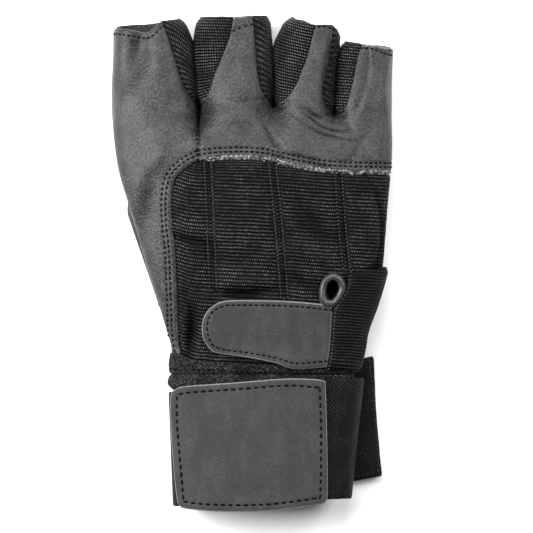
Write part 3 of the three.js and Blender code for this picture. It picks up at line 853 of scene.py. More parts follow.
@dataclass(frozen=True)
class HandPanels:
    """Grids of the leather and knit panels of the hand.

    Attributes:
        wall_columns: Columns from the palm leather up a side to its widest place.
        tip_blend: Length in mm over which the thumb side's rows turn to the cut end of the finger.
    """

    wall_columns: int = 10
    tip_blend: float = 25.0

    def wall_points(self, finger: int, side: int, y: float, rising: bool) -> np.ndarray:
        """Side wall of one row, from the palm leather up or from the widest place down."""
        share = np.linspace(0, 1, self.wall_columns + 1)[:-1]
        points = FORM.wall(finger, side, np.full(len(share), y), share)
        return points if rising else points[::-1]

    def down(self, row: np.ndarray, y: float) -> np.ndarray:
        """Row that goes on down the little finger's side to the palm leather."""
        return np.vstack([row, self.wall_points(3, 1, float(y), False)])

    def thumb_side(self) -> np.ndarray:
        """Grid of the leather on the thumb side with the top of the index stall."""
        right = np.vstack([
            smooth_path(plan(OPENING_EDGE), 110)[:-1],
            smooth_path(plan(SIDE_SEAM), 30)[:-1],
            smooth_path(plan(INDEX_SEAM), 50),
        ])
        root, tip = INDEX_SEAM[0][1] * HAND_LENGTH, INDEX_SEAM[-1][1] * HAND_LENGTH
        left_tip = INDEX_END[0][1] * HAND_LENGTH
        share = np.linspace(0, 1, 56)
        rows = []
        for x_seam, y_seam in right:
            y_left = y_seam if y_seam < root else root + (y_seam - root) * (left_tip - root) / (tip - root)
            edge = FORM.edge_at(0, -1, y_left)
            x = edge + (x_seam - edge) * (1 - np.cos(math.pi * share / 2))
            y = y_left + (y_seam - y_left) * (x - edge) / (x_seam - edge)
            near = float(np.clip((y_seam - tip + self.tip_blend) / self.tip_blend, 0, 1)) ** 2
            straight = left_tip + (tip - left_tip) * (x - edge) / (x_seam - edge)
            y = y + near * (line_at(INDEX_END, x) - straight)
            rows.append(np.vstack([self.wall_points(0, -1, y_left, True), FORM.above(x, y)]))
        return np.array(rows)

    def knuckles(self) -> list[np.ndarray]:
        """Grids of the knuckle leather: three stretches of the band and the three finger tops."""
        first, second, third = FORM.roots
        lines = (
            (MIDDLE_LEFT_SEAM, MIDDLE_RIGHT_SEAM, 44),
            (RING_LEFT_SEAM, RING_RIGHT_SEAM, 34),
            (LITTLE_SEAM, None, 40),
        )
        starts = (first[0], second[0], third[0])
        ends = (second[0], third[0], None)
        seam_foot = SIDE_SEAM[0][0] * HAND_WIDTH
        blocks = []
        for (left_rows, right_rows, columns), start, end in zip(lines, starts, ends):
            share = np.linspace(0, 1, columns)
            spread = share if right_rows else np.sin(math.pi * share / 2)
            band = []
            for s in np.linspace(0, 1, 40):
                left = start + (1 - s) * (seam_foot - start if start == first[0] else 0.0)
                y_right = mix(line_at(KNUCKLE_HEM, np.array(LITTLE_SIDE)), third[1], s)
                right = end if end is not None else FORM.edge_at(3, 1, y_right)
                x = left + (right - left) * spread
                row = FORM.above(x, mix(line_at(KNUCKLE_HEM, x), root_line(x), s))
                if end is None:
                    row = self.down(row, row[-1, 1])
                band.append(row)
            blocks.append(np.array(band))
            top = []
            left_line = smooth_path(plan(left_rows), 46)
            right_line = smooth_path(plan(right_rows), 46) if right_rows else None
            for number, (x_left, y_left) in enumerate(left_line):
                if right_line is not None:
                    x_right, y_right = right_line[number]
                else:
                    y_right = mix(root_line(np.array(LITTLE_SIDE)), LITTLE_END * HAND_LENGTH, number / 45)
                    x_right = FORM.edge_at(3, 1, y_right)
                x = x_left + (x_right - x_left) * spread
                row = FORM.above(x, y_left + (y_right - y_left) * share)
                if right_line is None:
                    row = self.down(row, y_right)
                top.append(row)
            blocks.append(np.array(top))
        return blocks

    def web(self, number: int) -> np.ndarray:
        """Grid of one knit web, down one finger's side and up its neighbour's."""
        seams = (
            (INDEX_SEAM, MIDDLE_LEFT_SEAM, 0.990, 0.992),
            (MIDDLE_RIGHT_SEAM, RING_LEFT_SEAM, 0.996, 0.991),
            (RING_RIGHT_SEAM, LITTLE_SEAM, 0.945, 0.920),
        )[number]
        root = FORM.roots[number]
        share = np.linspace(0, 1, 16)
        arms = []
        for seam, side, tip in ((seams[0], 1, seams[2]), (seams[1], -1, seams[3])):
            finger = number if side > 0 else number + 1
            arm = []
            line = smooth_path(plan(seam), 48)
            for place, (x_seam, y_seam) in enumerate(line):
                y_side = mix(root[1], tip * HAND_LENGTH, place / 47)
                edge = FORM.edge_at(finger, side, y_side)
                x = fan(x_seam, edge, share)
                y = y_seam + (y_side - y_seam) * share
                wall = self.wall_points(finger, side, float(y_side), False)
                arm.append(np.vstack([FORM.above(x, y), wall]))
            arms.append(np.array(arm))
        return np.vstack([arms[0][::-1], arms[1]])[::-1]

    def palm(self) -> list[np.ndarray]:
        """Grids of the palm leather: four stretches of the palm and the four finger undersides."""
        cuts = FORM.roots[:, 0]
        blocks = []
        for finger, columns in enumerate((44, 40, 32, 36)):
            share = np.linspace(0, 1, columns)
            spread = 0.5 - 0.5 * np.cos(math.pi * share)
            body, under = [], []
            for s in np.linspace(0, 1, 110):
                sides = np.array((-HALF_WIDTH, HALF_WIDTH))
                y_left, y_right = mix(line_at(CUFF_LINE, sides), root_line(sides), s)
                left = cuts[finger - 1] if finger else FORM.foot_at(0, -1, y_left)
                right = cuts[finger] if finger < 3 else FORM.foot_at(3, 1, y_right)
                x = left + (right - left) * spread
                y = mix(line_at(CUFF_LINE, x), root_line(x), s)
                if finger == 0:
                    x[0] = FORM.foot_at(0, -1, y[0])
                if finger == 3:
                    x[-1] = FORM.foot_at(3, 1, y[-1])
                body.append(np.stack([x, y, FORM.low(x, y)], axis=-1))
            for s in np.linspace(0, 1, 46):
                ends = []
                for side in (-1, 1):
                    neighbour = finger if side > 0 else finger - 1
                    shared = 0 <= neighbour <= 2
                    start = cuts[neighbour] if shared else side * HALF_WIDTH
                    tip = FORM.foot_at(finger, side, UNDER_END * HAND_LENGTH)
                    y = mix(root_line(np.array(start)), line_at(PALM_END, np.array(tip)), s)
                    own = FORM.foot_at(finger, side, y)
                    ends.append((mix(start, own, float(ease(np.array(s), 0.0, 0.12))) if shared else own, y))
                (left, y_left), (right, y_right) = ends
                x = left + (right - left) * spread
                straight = y_left + (y_right - y_left) * share
                base, tips = root_line(x), line_at(PALM_END, x)
                y = mix(straight, mix(base, tips, s), np.sin(math.pi * share))
                under.append(np.stack([x, y, FORM.low(x, y)], axis=-1))
            under[0] = body[-1]
            blocks += [np.array(body)[:, ::-1], np.array(under)[:, ::-1]]
        return blocks

    def back(self) -> np.ndarray:
        """Grid of the knit back panel."""
        left = smooth_path(plan(OPENING_EDGE), 120)
        low, high = left[0, 1], left[-1, 1]
        share = np.linspace(0, 1, 130)
        rows = []
        for x_left, y_left in left:
            s = (y_left - low) / (high - low)
            y_right = mix(line_at(CUFF_LINE, np.array(WRIST_SIDE)),
                          line_at(KNUCKLE_HEM, np.array(LITTLE_SIDE)), s)
            right = FORM.edge_at(3, 1, y_right)
            x = fan(x_left, right, share)
            base = mix(line_at(CUFF_LINE, x), line_at(KNUCKLE_HEM, x), s)
            y = base + (y_left - base[0]) * (1 - share) ** 2
            rows.append(self.down(FORM.above(x, y), y[-1]))
        return np.array(rows)

    def flap(self) -> np.ndarray:
        """Grid of the elastic side flap, on the hand's own surface."""
        line = smooth_path(plan(FLAP_FRONT), 64)
        share = np.linspace(0, 1, 44)
        rows = []
        for number, (x_left, y_left) in enumerate(line):
            s = number / 63
            y_right = mix(-0.026, 0.272, s) * HAND_LENGTH
            right = FORM.edge_at(3, 1, y_right)
            x = fan(x_left, right, share)
            y = y_left + (y_right - y_left) * share
            rows.append(self.down(FORM.above(x, y), y_right))
        return np.array(rows)

    def cuff(self) -> np.ndarray:
        """Ring grid of the knit cuff, from the hand to the wrist end."""
        turn = np.linspace(0, 2 * math.pi, 220, endpoint=False)
        end = HAND_STATIONS[0][0] * HAND_LENGTH
        rows = []
        for s in np.linspace(0, 1, 44):
            y = np.full(len(turn), mix(0.0, end, s))
            for _ in range(3):
                middle, half, floor, level, roof = FORM.palm.sizes(y)
                out = squared(np.cos(turn), HAND_ROUNDNESS)
                x = middle + half * out
                y = mix(line_at(CUFF_LINE, x) - 0.2, end, s)
            lift = squared(np.sin(turn), HAND_ROUNDNESS)
            rows.append(np.stack([x, y, ring_height(lift, floor, level, roof)], axis=-1))
        return np.array(rows)

    def stall(self) -> np.ndarray:
        """Ring grid of the thumb sleeve folded under the palm."""
        turn = np.linspace(0, 2 * math.pi, 120, endpoint=False)
        out = squared(np.cos(turn), STALL_ROUNDNESS)
        lift = squared(np.sin(turn), STALL_ROUNDNESS)
        angle = math.radians(STALL_TURN)
        base = np.array(STALL_BASE) * (HAND_WIDTH, HAND_LENGTH)
        rows = []
        for s in np.linspace(0, 1, 50):
            left, right, _, crown = blend(STALL_STATIONS, np.array(s))
            roof = crown * STALL_HEIGHT
            level = LEVEL_SHARE * roof
            x = (left + right) / 2 * STALL_WIDTH + out * (right - left) / 2 * STALL_WIDTH
            y = s * STALL_LENGTH + 3.4 * (1 - s) ** 3 * ease(-x / STALL_WIDTH, 0.28, 0.5)
            rows.append(np.stack([
                base[0] + x * math.cos(angle) - y * math.sin(angle),
                base[1] + x * math.sin(angle) + y * math.cos(angle),
                ring_height(lift, 0.0, level, roof)], axis=-1))
        return np.array(rows)[:, ::-1]


@dataclass(frozen=True)
class StrapPanels:
    """Grids of the wound strap and its patch, and of the closure tab.

    Attributes:
        steps: Columns along the strap.
    """

    steps: int = 420

    def lines(self, rows: Rows, width: float, steps: int) -> tuple[np.ndarray, np.ndarray]:
        """Both long edges of a band that follows a run."""
        table = np.array(rows, float)
        made = []
        for side in (-1, 1):
            places = np.stack([
                (table[:, 0] + side * table[:, 3]) * STRAP_SPAN,
                STRAP_MIDDLE + table[:, 2] * STRAP_HEIGHT / 2 + side * width / 2,
                table[:, 1] * GLOVE_HEIGHT], axis=-1)
            made.append(smooth_path(places, steps))
        return made[0], made[1]

    def strap(self) -> np.ndarray:
        """Middle surface of the strap."""
        low, high = self.lines(STRAP_RUN, STRAP_HEIGHT, self.steps)
        low[:, 1] += 2.4 * ease(-low[:, 0], 19.0, 29.0)
        share = np.linspace(0, 1, 56)[:, None, None]
        grid = low[None] + (high - low)[None] * share
        grid[..., 2] = np.maximum(grid[..., 2], STRAP_THICKNESS / 2 + CLEARANCE)
        return grid

    def patch_height(self, x: np.ndarray) -> np.ndarray:
        """Height of the strap's outer layer where the patch lies on it, at each x."""
        rows = (*STRAP_RUN[-5:], (-0.410, 0.770, -0.15, 0.00))
        low, high = self.lines(rows, STRAP_HEIGHT, 120)
        line = (low + high)[::-1] / 2
        keep = np.concatenate([[True], np.diff(np.maximum.accumulate(line[:, 0])) > 0])
        return np.interp(x, line[keep, 0], line[keep, 2])

    def patch(self) -> np.ndarray:
        """Outer surface of the patch."""
        bottom, top, left, right = (plan(rows) for rows in PATCH_SIDES)
        grid = coons(smooth_path(bottom, 110), smooth_path(top, 110),
                     smooth_path(left, 96)[::-1], smooth_path(right, 96)[::-1])
        height = self.patch_height(grid[..., 0]) + STRAP_THICKNESS / 2 + STACK_GAP + PATCH_THICKNESS
        return np.concatenate([grid, height[..., None]], axis=-1)

    def tab(self) -> np.ndarray:
        """Hand surface under the closure tab."""
        bottom, top, left, right = (plan(rows) for rows in TAB_SIDES)
        grid = coons(smooth_path(bottom, 100), smooth_path(top, 100),
                     smooth_path(left, 44), smooth_path(right, 44))
        return FORM.above(grid[..., 0], grid[..., 1])


def coons(bottom: np.ndarray, top: np.ndarray, left: np.ndarray, right: np.ndarray) -> np.ndarray:
    """Fills four border lines with a grid.

    Args:
        bottom: Places from the lower left to the lower right corner.
        top: Places from the upper left to the upper right corner.
        left: Places from the lower left to the upper left corner.
        right: Places from the lower right to the upper right corner.

    Returns:
        Rows by columns by 2.
    """
    u = np.linspace(0, 1, len(bottom))[None, :, None]
    v = np.linspace(0, 1, len(left))[:, None, None]
    ruled = (1 - v) * bottom[None] + v * top[None] + (1 - u) * left[:, None] + u * right[:, None]
    corners = ((1 - u) * (1 - v) * bottom[0] + u * (1 - v) * bottom[-1]
               + (1 - u) * v * top[0] + u * v * top[-1])
    return ruled - corners


# Lower, upper, left and right side of the patch and of the tab: across, along
PATCH_SIDES: tuple[Rows, ...] = (
    ((-0.261, -0.412), (-0.240, -0.421), (-0.120, -0.429), (0.060, -0.427), (0.235, -0.409), (0.261, -0.402)),
    ((-0.289, -0.088), (-0.270, -0.078), (-0.240, -0.071), (-0.060, -0.060), (0.120, -0.049), (0.225, -0.051),
     (0.260, -0.056)),
    ((-0.289, -0.088), (-0.293, -0.112), (-0.291, -0.200), (-0.277, -0.345), (-0.268, -0.400),
     (-0.261, -0.412)),
    ((0.260, -0.056), (0.263, -0.120), (0.267, -0.260), (0.268, -0.380), (0.261, -0.402)),
)
TAB_SIDES: tuple[Rows, ...] = (
    ((-0.152, 0.038), (-0.125, 0.024), (-0.009, 0.009), (0.080, -0.004), (0.152, -0.019), (0.262, -0.014)),
    ((-0.152, 0.152), (-0.112, 0.171), (-0.045, 0.176), (0.134, 0.173), (0.281, 0.162)),
    ((-0.152, 0.038), (-0.172, 0.065), (-0.178, 0.098), (-0.170, 0.130), (-0.152, 0.152)),
    ((0.262, -0.014), (0.271, 0.030), (0.277, 0.089), (0.281, 0.162)),
)

# Outlines of the pieces sewn on the back: across, along
VENT_EDGE: Rows = (
    (0.268, 0.160), (0.248, 0.170), (0.246, 0.204), (0.258, 0.234), (0.286, 0.247),
    (0.314, 0.236), (0.325, 0.211), (0.310, 0.182), (0.288, 0.163), (0.268, 0.160),
)
VENT_HOLE: Rows = (
    (0.277, 0.176), (0.267, 0.190), (0.266, 0.208), (0.273, 0.223), (0.286, 0.230),
    (0.299, 0.222), (0.302, 0.206), (0.291, 0.188), (0.277, 0.176),
)
TAB_EDGE: Rows = (
    (0.281, 0.162), (0.134, 0.173), (-0.045, 0.176), (-0.112, 0.171), (-0.162, 0.144), (-0.178, 0.098),
    (-0.166, 0.052), (-0.125, 0.024), (-0.009, 0.009), (0.080, -0.004), (0.152, -0.019), (0.262, -0.014),
)
PATCH_EDGE: Rows = (
    (0.260, -0.056), (0.120, -0.049), (-0.060, -0.060), (-0.240, -0.071), (-0.285, -0.085), (-0.292, -0.112),
    (-0.290, -0.200), (-0.274, -0.345), (-0.266, -0.405), (-0.240, -0.421), (-0.120, -0.429), (0.060, -0.427),
    (0.235, -0.409), (0.262, -0.400), (0.268, -0.240), (0.264, -0.100), (0.260, -0.056),
)
FLAP_FRONT: Rows = (
    (0.259, -0.021), (0.271, 0.030), (0.277, 0.089), (0.285, 0.150), (0.312, 0.184), (0.331, 0.214),
    (0.338, 0.257),
)
CHANNELS: tuple[Rows, ...] = (
    ((-0.159, 0.578), (-0.148, 0.377), (-0.139, 0.204)),
    ((0.070, 0.573), (0.095, 0.377), (0.114, 0.184)),
    ((0.305, 0.544), (0.318, 0.406), (0.334, 0.268)),
)


LEATHER_SEAMS: tuple[SeamLine, ...] = (
    *(SeamLine(rows, shift) for rows in (OPENING_EDGE, KNUCKLE_HEM) for shift in (2.3, 3.9)),
    SeamLine(SIDE_SEAM, 1.0), SeamLine(INDEX_END, -2.0),
    SeamLine(((-0.066, 0.948), (-0.038, 0.958), (-0.004, 0.967))),
    SeamLine(((0.216, 0.956), (0.252, 0.961), (0.288, 0.955))),
    SeamLine(((0.388, 0.899), (0.423, 0.897), (0.473, 0.884), (0.515, 0.876))),
)
TAB_SEAMS: tuple[SeamLine, ...] = (SeamLine(TAB_EDGE, 2.0),)
PATCH_SEAMS: tuple[SeamLine, ...] = (SeamLine(PATCH_EDGE, 2.7, 4),)
FLAP_SEAMS: tuple[SeamLine, ...] = (SeamLine(FLAP_FRONT, -1.4),)
CUFF_SEAMS: tuple[SeamLine, ...] = (
    SeamLine(((-0.300, -0.022), (-0.100, -0.027), (0.100, -0.032), (0.330, -0.036))),
)
STRAP_SEAMS: tuple[SeamLine, ...] = (
    SeamLine(((0.418, -0.004), (0.430, -0.090), (0.452, -0.300))), SeamLine(((0.375, -0.335), (0.450, -0.318))),
)
KNIT_SEAMS = tuple(SeamLine(rows, shift) for rows in CHANNELS for shift in (-CHANNEL_HALF, CHANNEL_HALF))
FUZZ_SEAMS = (*(SeamLine(KNUCKLE_HEM, shift) for shift in (-0.5, -0.1, 0.3, 0.7)),
              *(SeamLine(rows, -0.4) for rows in TIP_CUTS))


# Folds of the thumb side: across, along, turn, half length, half width, height
THUMB_SIDE_FOLDS: Rows = (
    (-0.405, 0.89, 78, 14, 5.2, -3.2), (-0.33, 0.85, 110, 16, 4.6, 0.9), (-0.47, 0.66, 95, 26, 3.4, 0.5),
    (-0.37, 0.42, 76, 26, 4.0, -0.9), (-0.33, 0.62, 55, 16, 5.0, 0.7), (-0.42, 0.46, 75, 28, 3.6, 0.6),
    (-0.27, 0.64, 30, 12, 3.0, -0.6),
)

# Folds and creases of the knuckle leather
KNUCKLE_FOLDS: Rows = (
    (0.24, 0.685, -28, 9, 1.1, -0.9), (0.27, 0.655, -18, 10, 1.0, -0.8), (0.20, 0.715, -40, 7, 1.0, -0.7),
    (0.09, 0.625, -52, 9, 1.3, -0.8), (0.38, 0.61, 62, 8, 1.4, -0.9), (0.455, 0.645, 70, 10, 2.0, 0.7),
    (0.412, 0.83, 84, 15, 1.1, -1.0), (-0.03, 0.84, 88, 18, 3.4, 0.7), (0.235, 0.86, 80, 14, 2.4, 0.7),
    (-0.06, 0.70, 5, 16, 4.0, 0.7), (-0.02, 0.740, 5, 11, 1.6, -0.5), (0.34, 0.68, -60, 9, 1.4, -0.8),
    (0.15, 0.705, -35, 8, 0.7, -0.45), (0.235, 0.70, -20, 8, 0.7, -0.5), (0.13, 0.735, -48, 6, 0.7, -0.4),
    (0.28, 0.672, -8, 7, 0.6, -0.45), (0.33, 0.625, 40, 7, 0.7, -0.4), (0.05, 0.60, -30, 8, 0.8, -0.35),
    (0.47, 0.80, 85, 16, 1.6, 0.5), (0.17, 0.60, -12, 15, 2.2, 0.6),
)

# Folds of the knit back
BACK_FOLDS: Rows = (
    (-0.22, 0.380, -12, 10, 2.8, 1.8), (-0.22, 0.345, -12, 10, 1.1, -2.3), (-0.21, 0.45, -8, 9, 4.0, 0.9),
    (-0.218, 0.085, 86, 14, 2.2, -3.0), (-0.245, 0.10, 86, 18, 1.3, 0.8), (-0.180, 0.10, 86, 16, 1.5, 1.0),
    (-0.03, 0.190, 2, 13, 1.9, -3.0), (-0.02, 0.225, 2, 15, 2.4, 1.3), (0.465, 0.36, 88, 26, 1.2, -1.8),
    (0.20, 0.41, -50, 20, 5.0, -1.9), (0.22, 0.30, -25, 15, 3.6, 1.6), (0.40, 0.245, 20, 9, 1.5, -1.8),
    (-0.03, 0.40, 15, 12, 7.0, 1.0), (0.18, 0.225, -25, 9, 2.2, -1.6), (0.20, 0.50, -8, 10, 4.0, 0.9),
    (0.39, 0.34, 12, 10, 4.0, 0.9), (-0.05, 0.30, 10, 14, 3.5, -0.8),
)


def inside(points: np.ndarray, outline: np.ndarray) -> np.ndarray:
    """Whether each place in plan lies within a closed outline."""
    found = np.zeros(len(points), bool)
    for (ax, ay), (bx, by) in zip(outline, np.roll(outline, -1, axis=0)):
        spans = (ay > points[:, 1]) != (by > points[:, 1])
        reach = ax + (bx - ax) * (points[:, 1] - ay) / (by - ay if by != ay else 1e-9)
        found ^= spans & (points[:, 0] < reach)
    return found


class Graph:
    """Small helper that adds nodes to a material."""

    def __init__(self, name: str) -> None:
        """Starts a material with a principled shader."""
        self.material = bpy.data.materials.new(name)
        self.material.use_nodes = True
        self.nodes = self.material.node_tree.nodes
        self.links = self.material.node_tree.links
        self.shader = self.nodes["Principled BSDF"]

    def add(self, kind: str, inputs: dict[str | int, object], **settings: object) -> bpy.types.Node:
        """Adds a node.

        Args:
            kind: Node type.
            inputs: Value or source socket of each input.
            settings: Properties of the node.

        Returns:
            The node.
        """
        node = self.nodes.new(kind)
        for label, value in settings.items():
            setattr(node, label, value)
        for label, value in inputs.items():
            if isinstance(value, bpy.types.NodeSocket):
                self.links.new(value, node.inputs[label])
            else:
                node.inputs[label].default_value = value
        return node

    def sum(self, operation: str, first: object, second: object = 0.0) -> bpy.types.NodeSocket:
        """Adds arithmetic on one or two numbers."""
        return self.add("ShaderNodeMath", {0: first, 1: second}, operation=operation).outputs[0]

    def scaled(self, value: object, factor: float, added: object) -> bpy.types.NodeSocket:
        """Adds a number times a factor, with something added."""
        return self.sum("ADD", self.sum("MULTIPLY", value, factor), added)

    def ramp(self, value: object, low: float, high: float) -> bpy.types.NodeSocket:
        """Adds a smooth step from 0 at low to 1 at high."""
        return self.add("ShaderNodeMapRange", {"Value": value, "From Min": low, "From Max": high},
                        interpolation_type="SMOOTHSTEP").outputs["Result"]

    def blend(self, share: object, first: object, second: object) -> bpy.types.NodeSocket:
        """Adds a mix of two colours."""
        node = self.add("ShaderNodeMix", {0: share, 6: first, 7: second}, data_type="RGBA")
        return node.outputs[2]

    def places(self) -> bpy.types.NodeSocket:
        """Adds the piece's own coordinates in mm."""
        source = self.add("ShaderNodeTexCoord", {}).outputs["Object"]
        return self.add("ShaderNodeVectorMath", {0: source, "Scale": 1000.0}, operation="SCALE").outputs[0]

    def noise(self, places: object, size: float, detail: float = 2.0) -> bpy.types.NodeSocket:
        """Adds cloudy noise with spots of a size in mm."""
        inputs = {"Vector": places, "Scale": 1 / size, "Detail": detail}
        return self.add("ShaderNodeTexNoise", inputs).outputs["Fac"]

    def attribute(self, name: str) -> bpy.types.NodeSocket:
        """Adds a number kept on the piece."""
        return self.add("ShaderNodeAttribute", {}, attribute_name=name).outputs["Fac"]

    def set(self, values: dict[str, object]) -> bpy.types.Material:
        """Sets constant values of the shader and returns the material."""
        for label, value in values.items():
            self.shader.inputs[label].default_value = value
        return self.material

    def finish(self, colour: bpy.types.NodeSocket, roughness: float, height: object, depth: float,
               specular: float) -> bpy.types.Material:
        """Sets the shader.

        Args:
            colour: Base colour.
            roughness: Roughness of the surface.
            height: Height from 0 to 1 for the bump.
            depth: Depth of the bump in mm.
            specular: Strength of the reflections.

        Returns:
            The finished material.
        """
        bump = self.add("ShaderNodeBump", {"Height": height, "Distance": depth * MM, "Strength": 1.0})
        self.links.new(bump.outputs[0], self.shader.inputs["Normal"])
        self.links.new(colour, self.shader.inputs["Base Color"])
        return self.set({"Roughness": roughness, "Specular IOR Level": specular})


def grey(value: float, warmth: float = 0.0) -> tuple[float, float, float, float]:
    """Neutral colour of a linear brightness, with a little warmth."""
    return (value * (1 + warmth), value, value * (1 - warmth), 1.0)


@dataclass(frozen=True)
class Hide:
    """Leather finish.

    Attributes:
        name: Name of the material.
        dark: Brightness in the hollows of the grain: the leather's tone with painted shade.
        light: Brightness on the grain.
        cut: Brightness of the raw cut edge.
        cut_width: How far the raw edge shows, in mm.
        grain: Size of the grain in mm.
        depth: Depth of the grain in mm.
        roughness: Roughness of the surface.
        streak: How much the mottling is drawn out along the hand.
        specular: Strength of the reflections.
    """

    name: str
    dark: float
    light: float
    cut: float
    cut_width: float
    grain: float
    depth: float
    roughness: float
    streak: float = 1.0
    specular: float = 0.5

    def make(self) -> bpy.types.Material:
        """Builds the material."""
        g = Graph(self.name)
        places = g.places()
        drawn = g.add("ShaderNodeMapping", {"Vector": places, "Scale": (1.0, 1 / self.streak, 1.0)}).outputs[0]
        cells = g.add("ShaderNodeTexVoronoi", {"Vector": places, "Scale": 1 / self.grain}).outputs["Distance"]
        pebble = g.sum("SUBTRACT", 1.0, cells)
        fine = g.noise(drawn, self.grain * 0.45, 3.0)
        height = g.scaled(pebble, 0.6, g.sum("MULTIPLY", fine, 0.7))
        cloud = g.noise(drawn, 6.0, 5.0)
        share = g.scaled(height, 0.9, g.sum("MULTIPLY", g.ramp(cloud, 0.3, 0.7), 0.2))
        # Grain colour: random mottling, and darker in the grain's hollows as painted shade
        colour = g.blend(g.ramp(share, 0.5, 1.05), grey(self.dark), grey(self.light))
        fuzz = g.sum("ADD", g.attribute("raw"), g.sum("MULTIPLY", g.noise(places, 0.5, 2.0), -0.6))
        raw = g.sum("SUBTRACT", 1.0, g.ramp(fuzz, self.cut_width * 0.3 - 0.3, self.cut_width - 0.3))
        # Painted shade in dents and channels
        colour = g.blend(g.sum("MULTIPLY", g.attribute("painted_crease_shade"), 0.8), colour, grey(self.dark * 0.3))
        colour = g.blend(raw, colour, grey(self.cut))
        return g.finish(colour, self.roughness, height, self.depth, self.specular)


@dataclass(frozen=True)
class Weave:
    """Knitted or woven finish made of rows of thread.

    Attributes:
        name: Name of the material.
        ground: Brightness between the threads, which is painted shade.
        thread: Brightness on the threads: the yarn's tone with painted highlights.
        row: Distance between rows in mm.
        stitch: Distance between stitches along a row in mm.
        slant: How far each row is shifted along, as a share of a stitch.
        depth: Depth of the rows in mm.
        speckle: How unevenly the painted highlights on the threads show, 0 to 1.
        sharp: Power that narrows the painted highlights on the threads.
        diagonal: Slope of the rows.
        warmth: Warm tint.
        specular: Strength of the reflections.
    """

    name: str
    ground: float
    thread: float
    row: float
    stitch: float
    slant: float
    depth: float
    speckle: float
    sharp: float = 2.0
    diagonal: float = 0.0
    warmth: float = 0.0
    specular: float = 0.06

    def make(self) -> bpy.types.Material:
        """Builds the material."""
        g = Graph(self.name)
        places = g.places()
        run, cross = g.attribute("run"), g.attribute("cross")
        wobble = g.sum("MULTIPLY", g.noise(places, 4.0, 1.0), 0.35 * self.row)
        sloped = g.sum("ADD", g.sum("ADD", cross, wobble), g.sum("MULTIPLY", run, self.diagonal))
        rows = g.sum("MULTIPLY", sloped, 2 * math.pi / self.row)
        skewed = g.sum("ADD", run, g.sum("MULTIPLY", cross, self.slant * self.stitch / self.row))
        stitches = g.sum("MULTIPLY", skewed, 2 * math.pi / self.stitch)
        ridge = g.scaled(g.sum("SINE", rows), 0.5, 0.5)
        loop = g.scaled(g.sum("SINE", stitches), 0.5, 0.5)
        height = g.sum("MULTIPLY", ridge, g.scaled(loop, 0.7, 0.3))
        spots = g.ramp(g.noise(places, 0.9, 3.0), 0.40, 0.68)
        uneven = g.scaled(spots, self.speckle, 1 - self.speckle)
        # Painted highlights on the threads' ridges, brighter at random spots
        painted_glint = g.sum("MULTIPLY", g.sum("POWER", height, self.sharp), uneven)
        shade = g.scaled(g.ramp(g.noise(places, 9.0, 2.0), 0.35, 0.65), 0.6, 0.5)
        # Painted shade in channels dims the painted highlights
        painted_glint = g.sum("MULTIPLY", g.sum("MULTIPLY", painted_glint, shade), g.sum("SUBTRACT", 1.0, g.attribute("painted_crease_shade")))
        # Colour: painted shade between the threads, painted highlights on them
        colour = g.blend(painted_glint, grey(self.ground, self.warmth), grey(self.thread, self.warmth))
        return g.finish(colour, 0.6, height, self.depth, self.specular)


class Finishes:
    """All materials of the glove."""

    def __init__(self) -> None:
        """Builds every material once."""
        self.leather = Hide("leather", 0.003, 0.032, 0.12, 0.7, 0.95, 0.24, 0.45, 1.0, 0.34).make()
        self.nubuck = Hide("nubuck", 0.018, 0.042, 0.13, 0.45, 0.45, 0.10, 0.8, 2.5, 0.2).make()
        self.smooth = Hide("smooth_leather", 0.016, 0.042, 0.10, 0.3, 1.6, 0.03, 0.4, 1.0, 0.5).make()
        self.knit = Weave("knit", 0.0005, 0.150, 1.45, 0.95, 0.5, 0.6, 0.65, 2.3, 0.0, 0.05).make()
        self.web = Weave("web_knit", 0.0005, 0.210, 1.2, 1.0, 0.5, 0.6, 0.6, 2.6, 0.0, 0.05).make()
        self.loop_knit = Weave("loop_knit", 0.001, 0.170, 0.85, 0.75, 0.5, 0.5, 0.85, 1.6, 0.35).make()
        self.elastic = Weave("elastic", 0.001, 0.034, 1.2, 0.9, 0.5, 0.16, 0.7, 1.3, 0.8, 0.08).make()
        self.ribbed = Weave("ribbed_elastic", 0.0005, 0.060, 1.25, 0.8, 0.5, 0.5, 0.5, 2.2, 0.0, 0.04).make()
        self.thread = self.plain("thread", 0.0008, 0.7, 0.06)
        self.sewn = self.plain("dark_thread", 0.010, 0.6)
        self.fuzz = self.fibres()
        self.floor = self.plain("studio_floor", 0.88, 0.9)

    def fibres(self) -> bpy.types.Material:
        """Builds the uneven pale finish of the torn suede fibres."""
        g = Graph("suede_fibres")
        spots = g.ramp(g.noise(g.places(), 1.3, 2.0), 0.38, 0.66)
        colour = g.blend(spots, grey(0.03), grey(0.32))
        return g.finish(colour, 0.9, spots, 0.05, 0.1)

    def plain(self, name: str, brightness: float, roughness: float,
              specular: float = 0.3) -> bpy.types.Material:
        """Builds a material of one colour."""
        return Graph(name).set({"Base Color": grey(brightness), "Roughness": roughness,
                                "Specular IOR Level": specular})


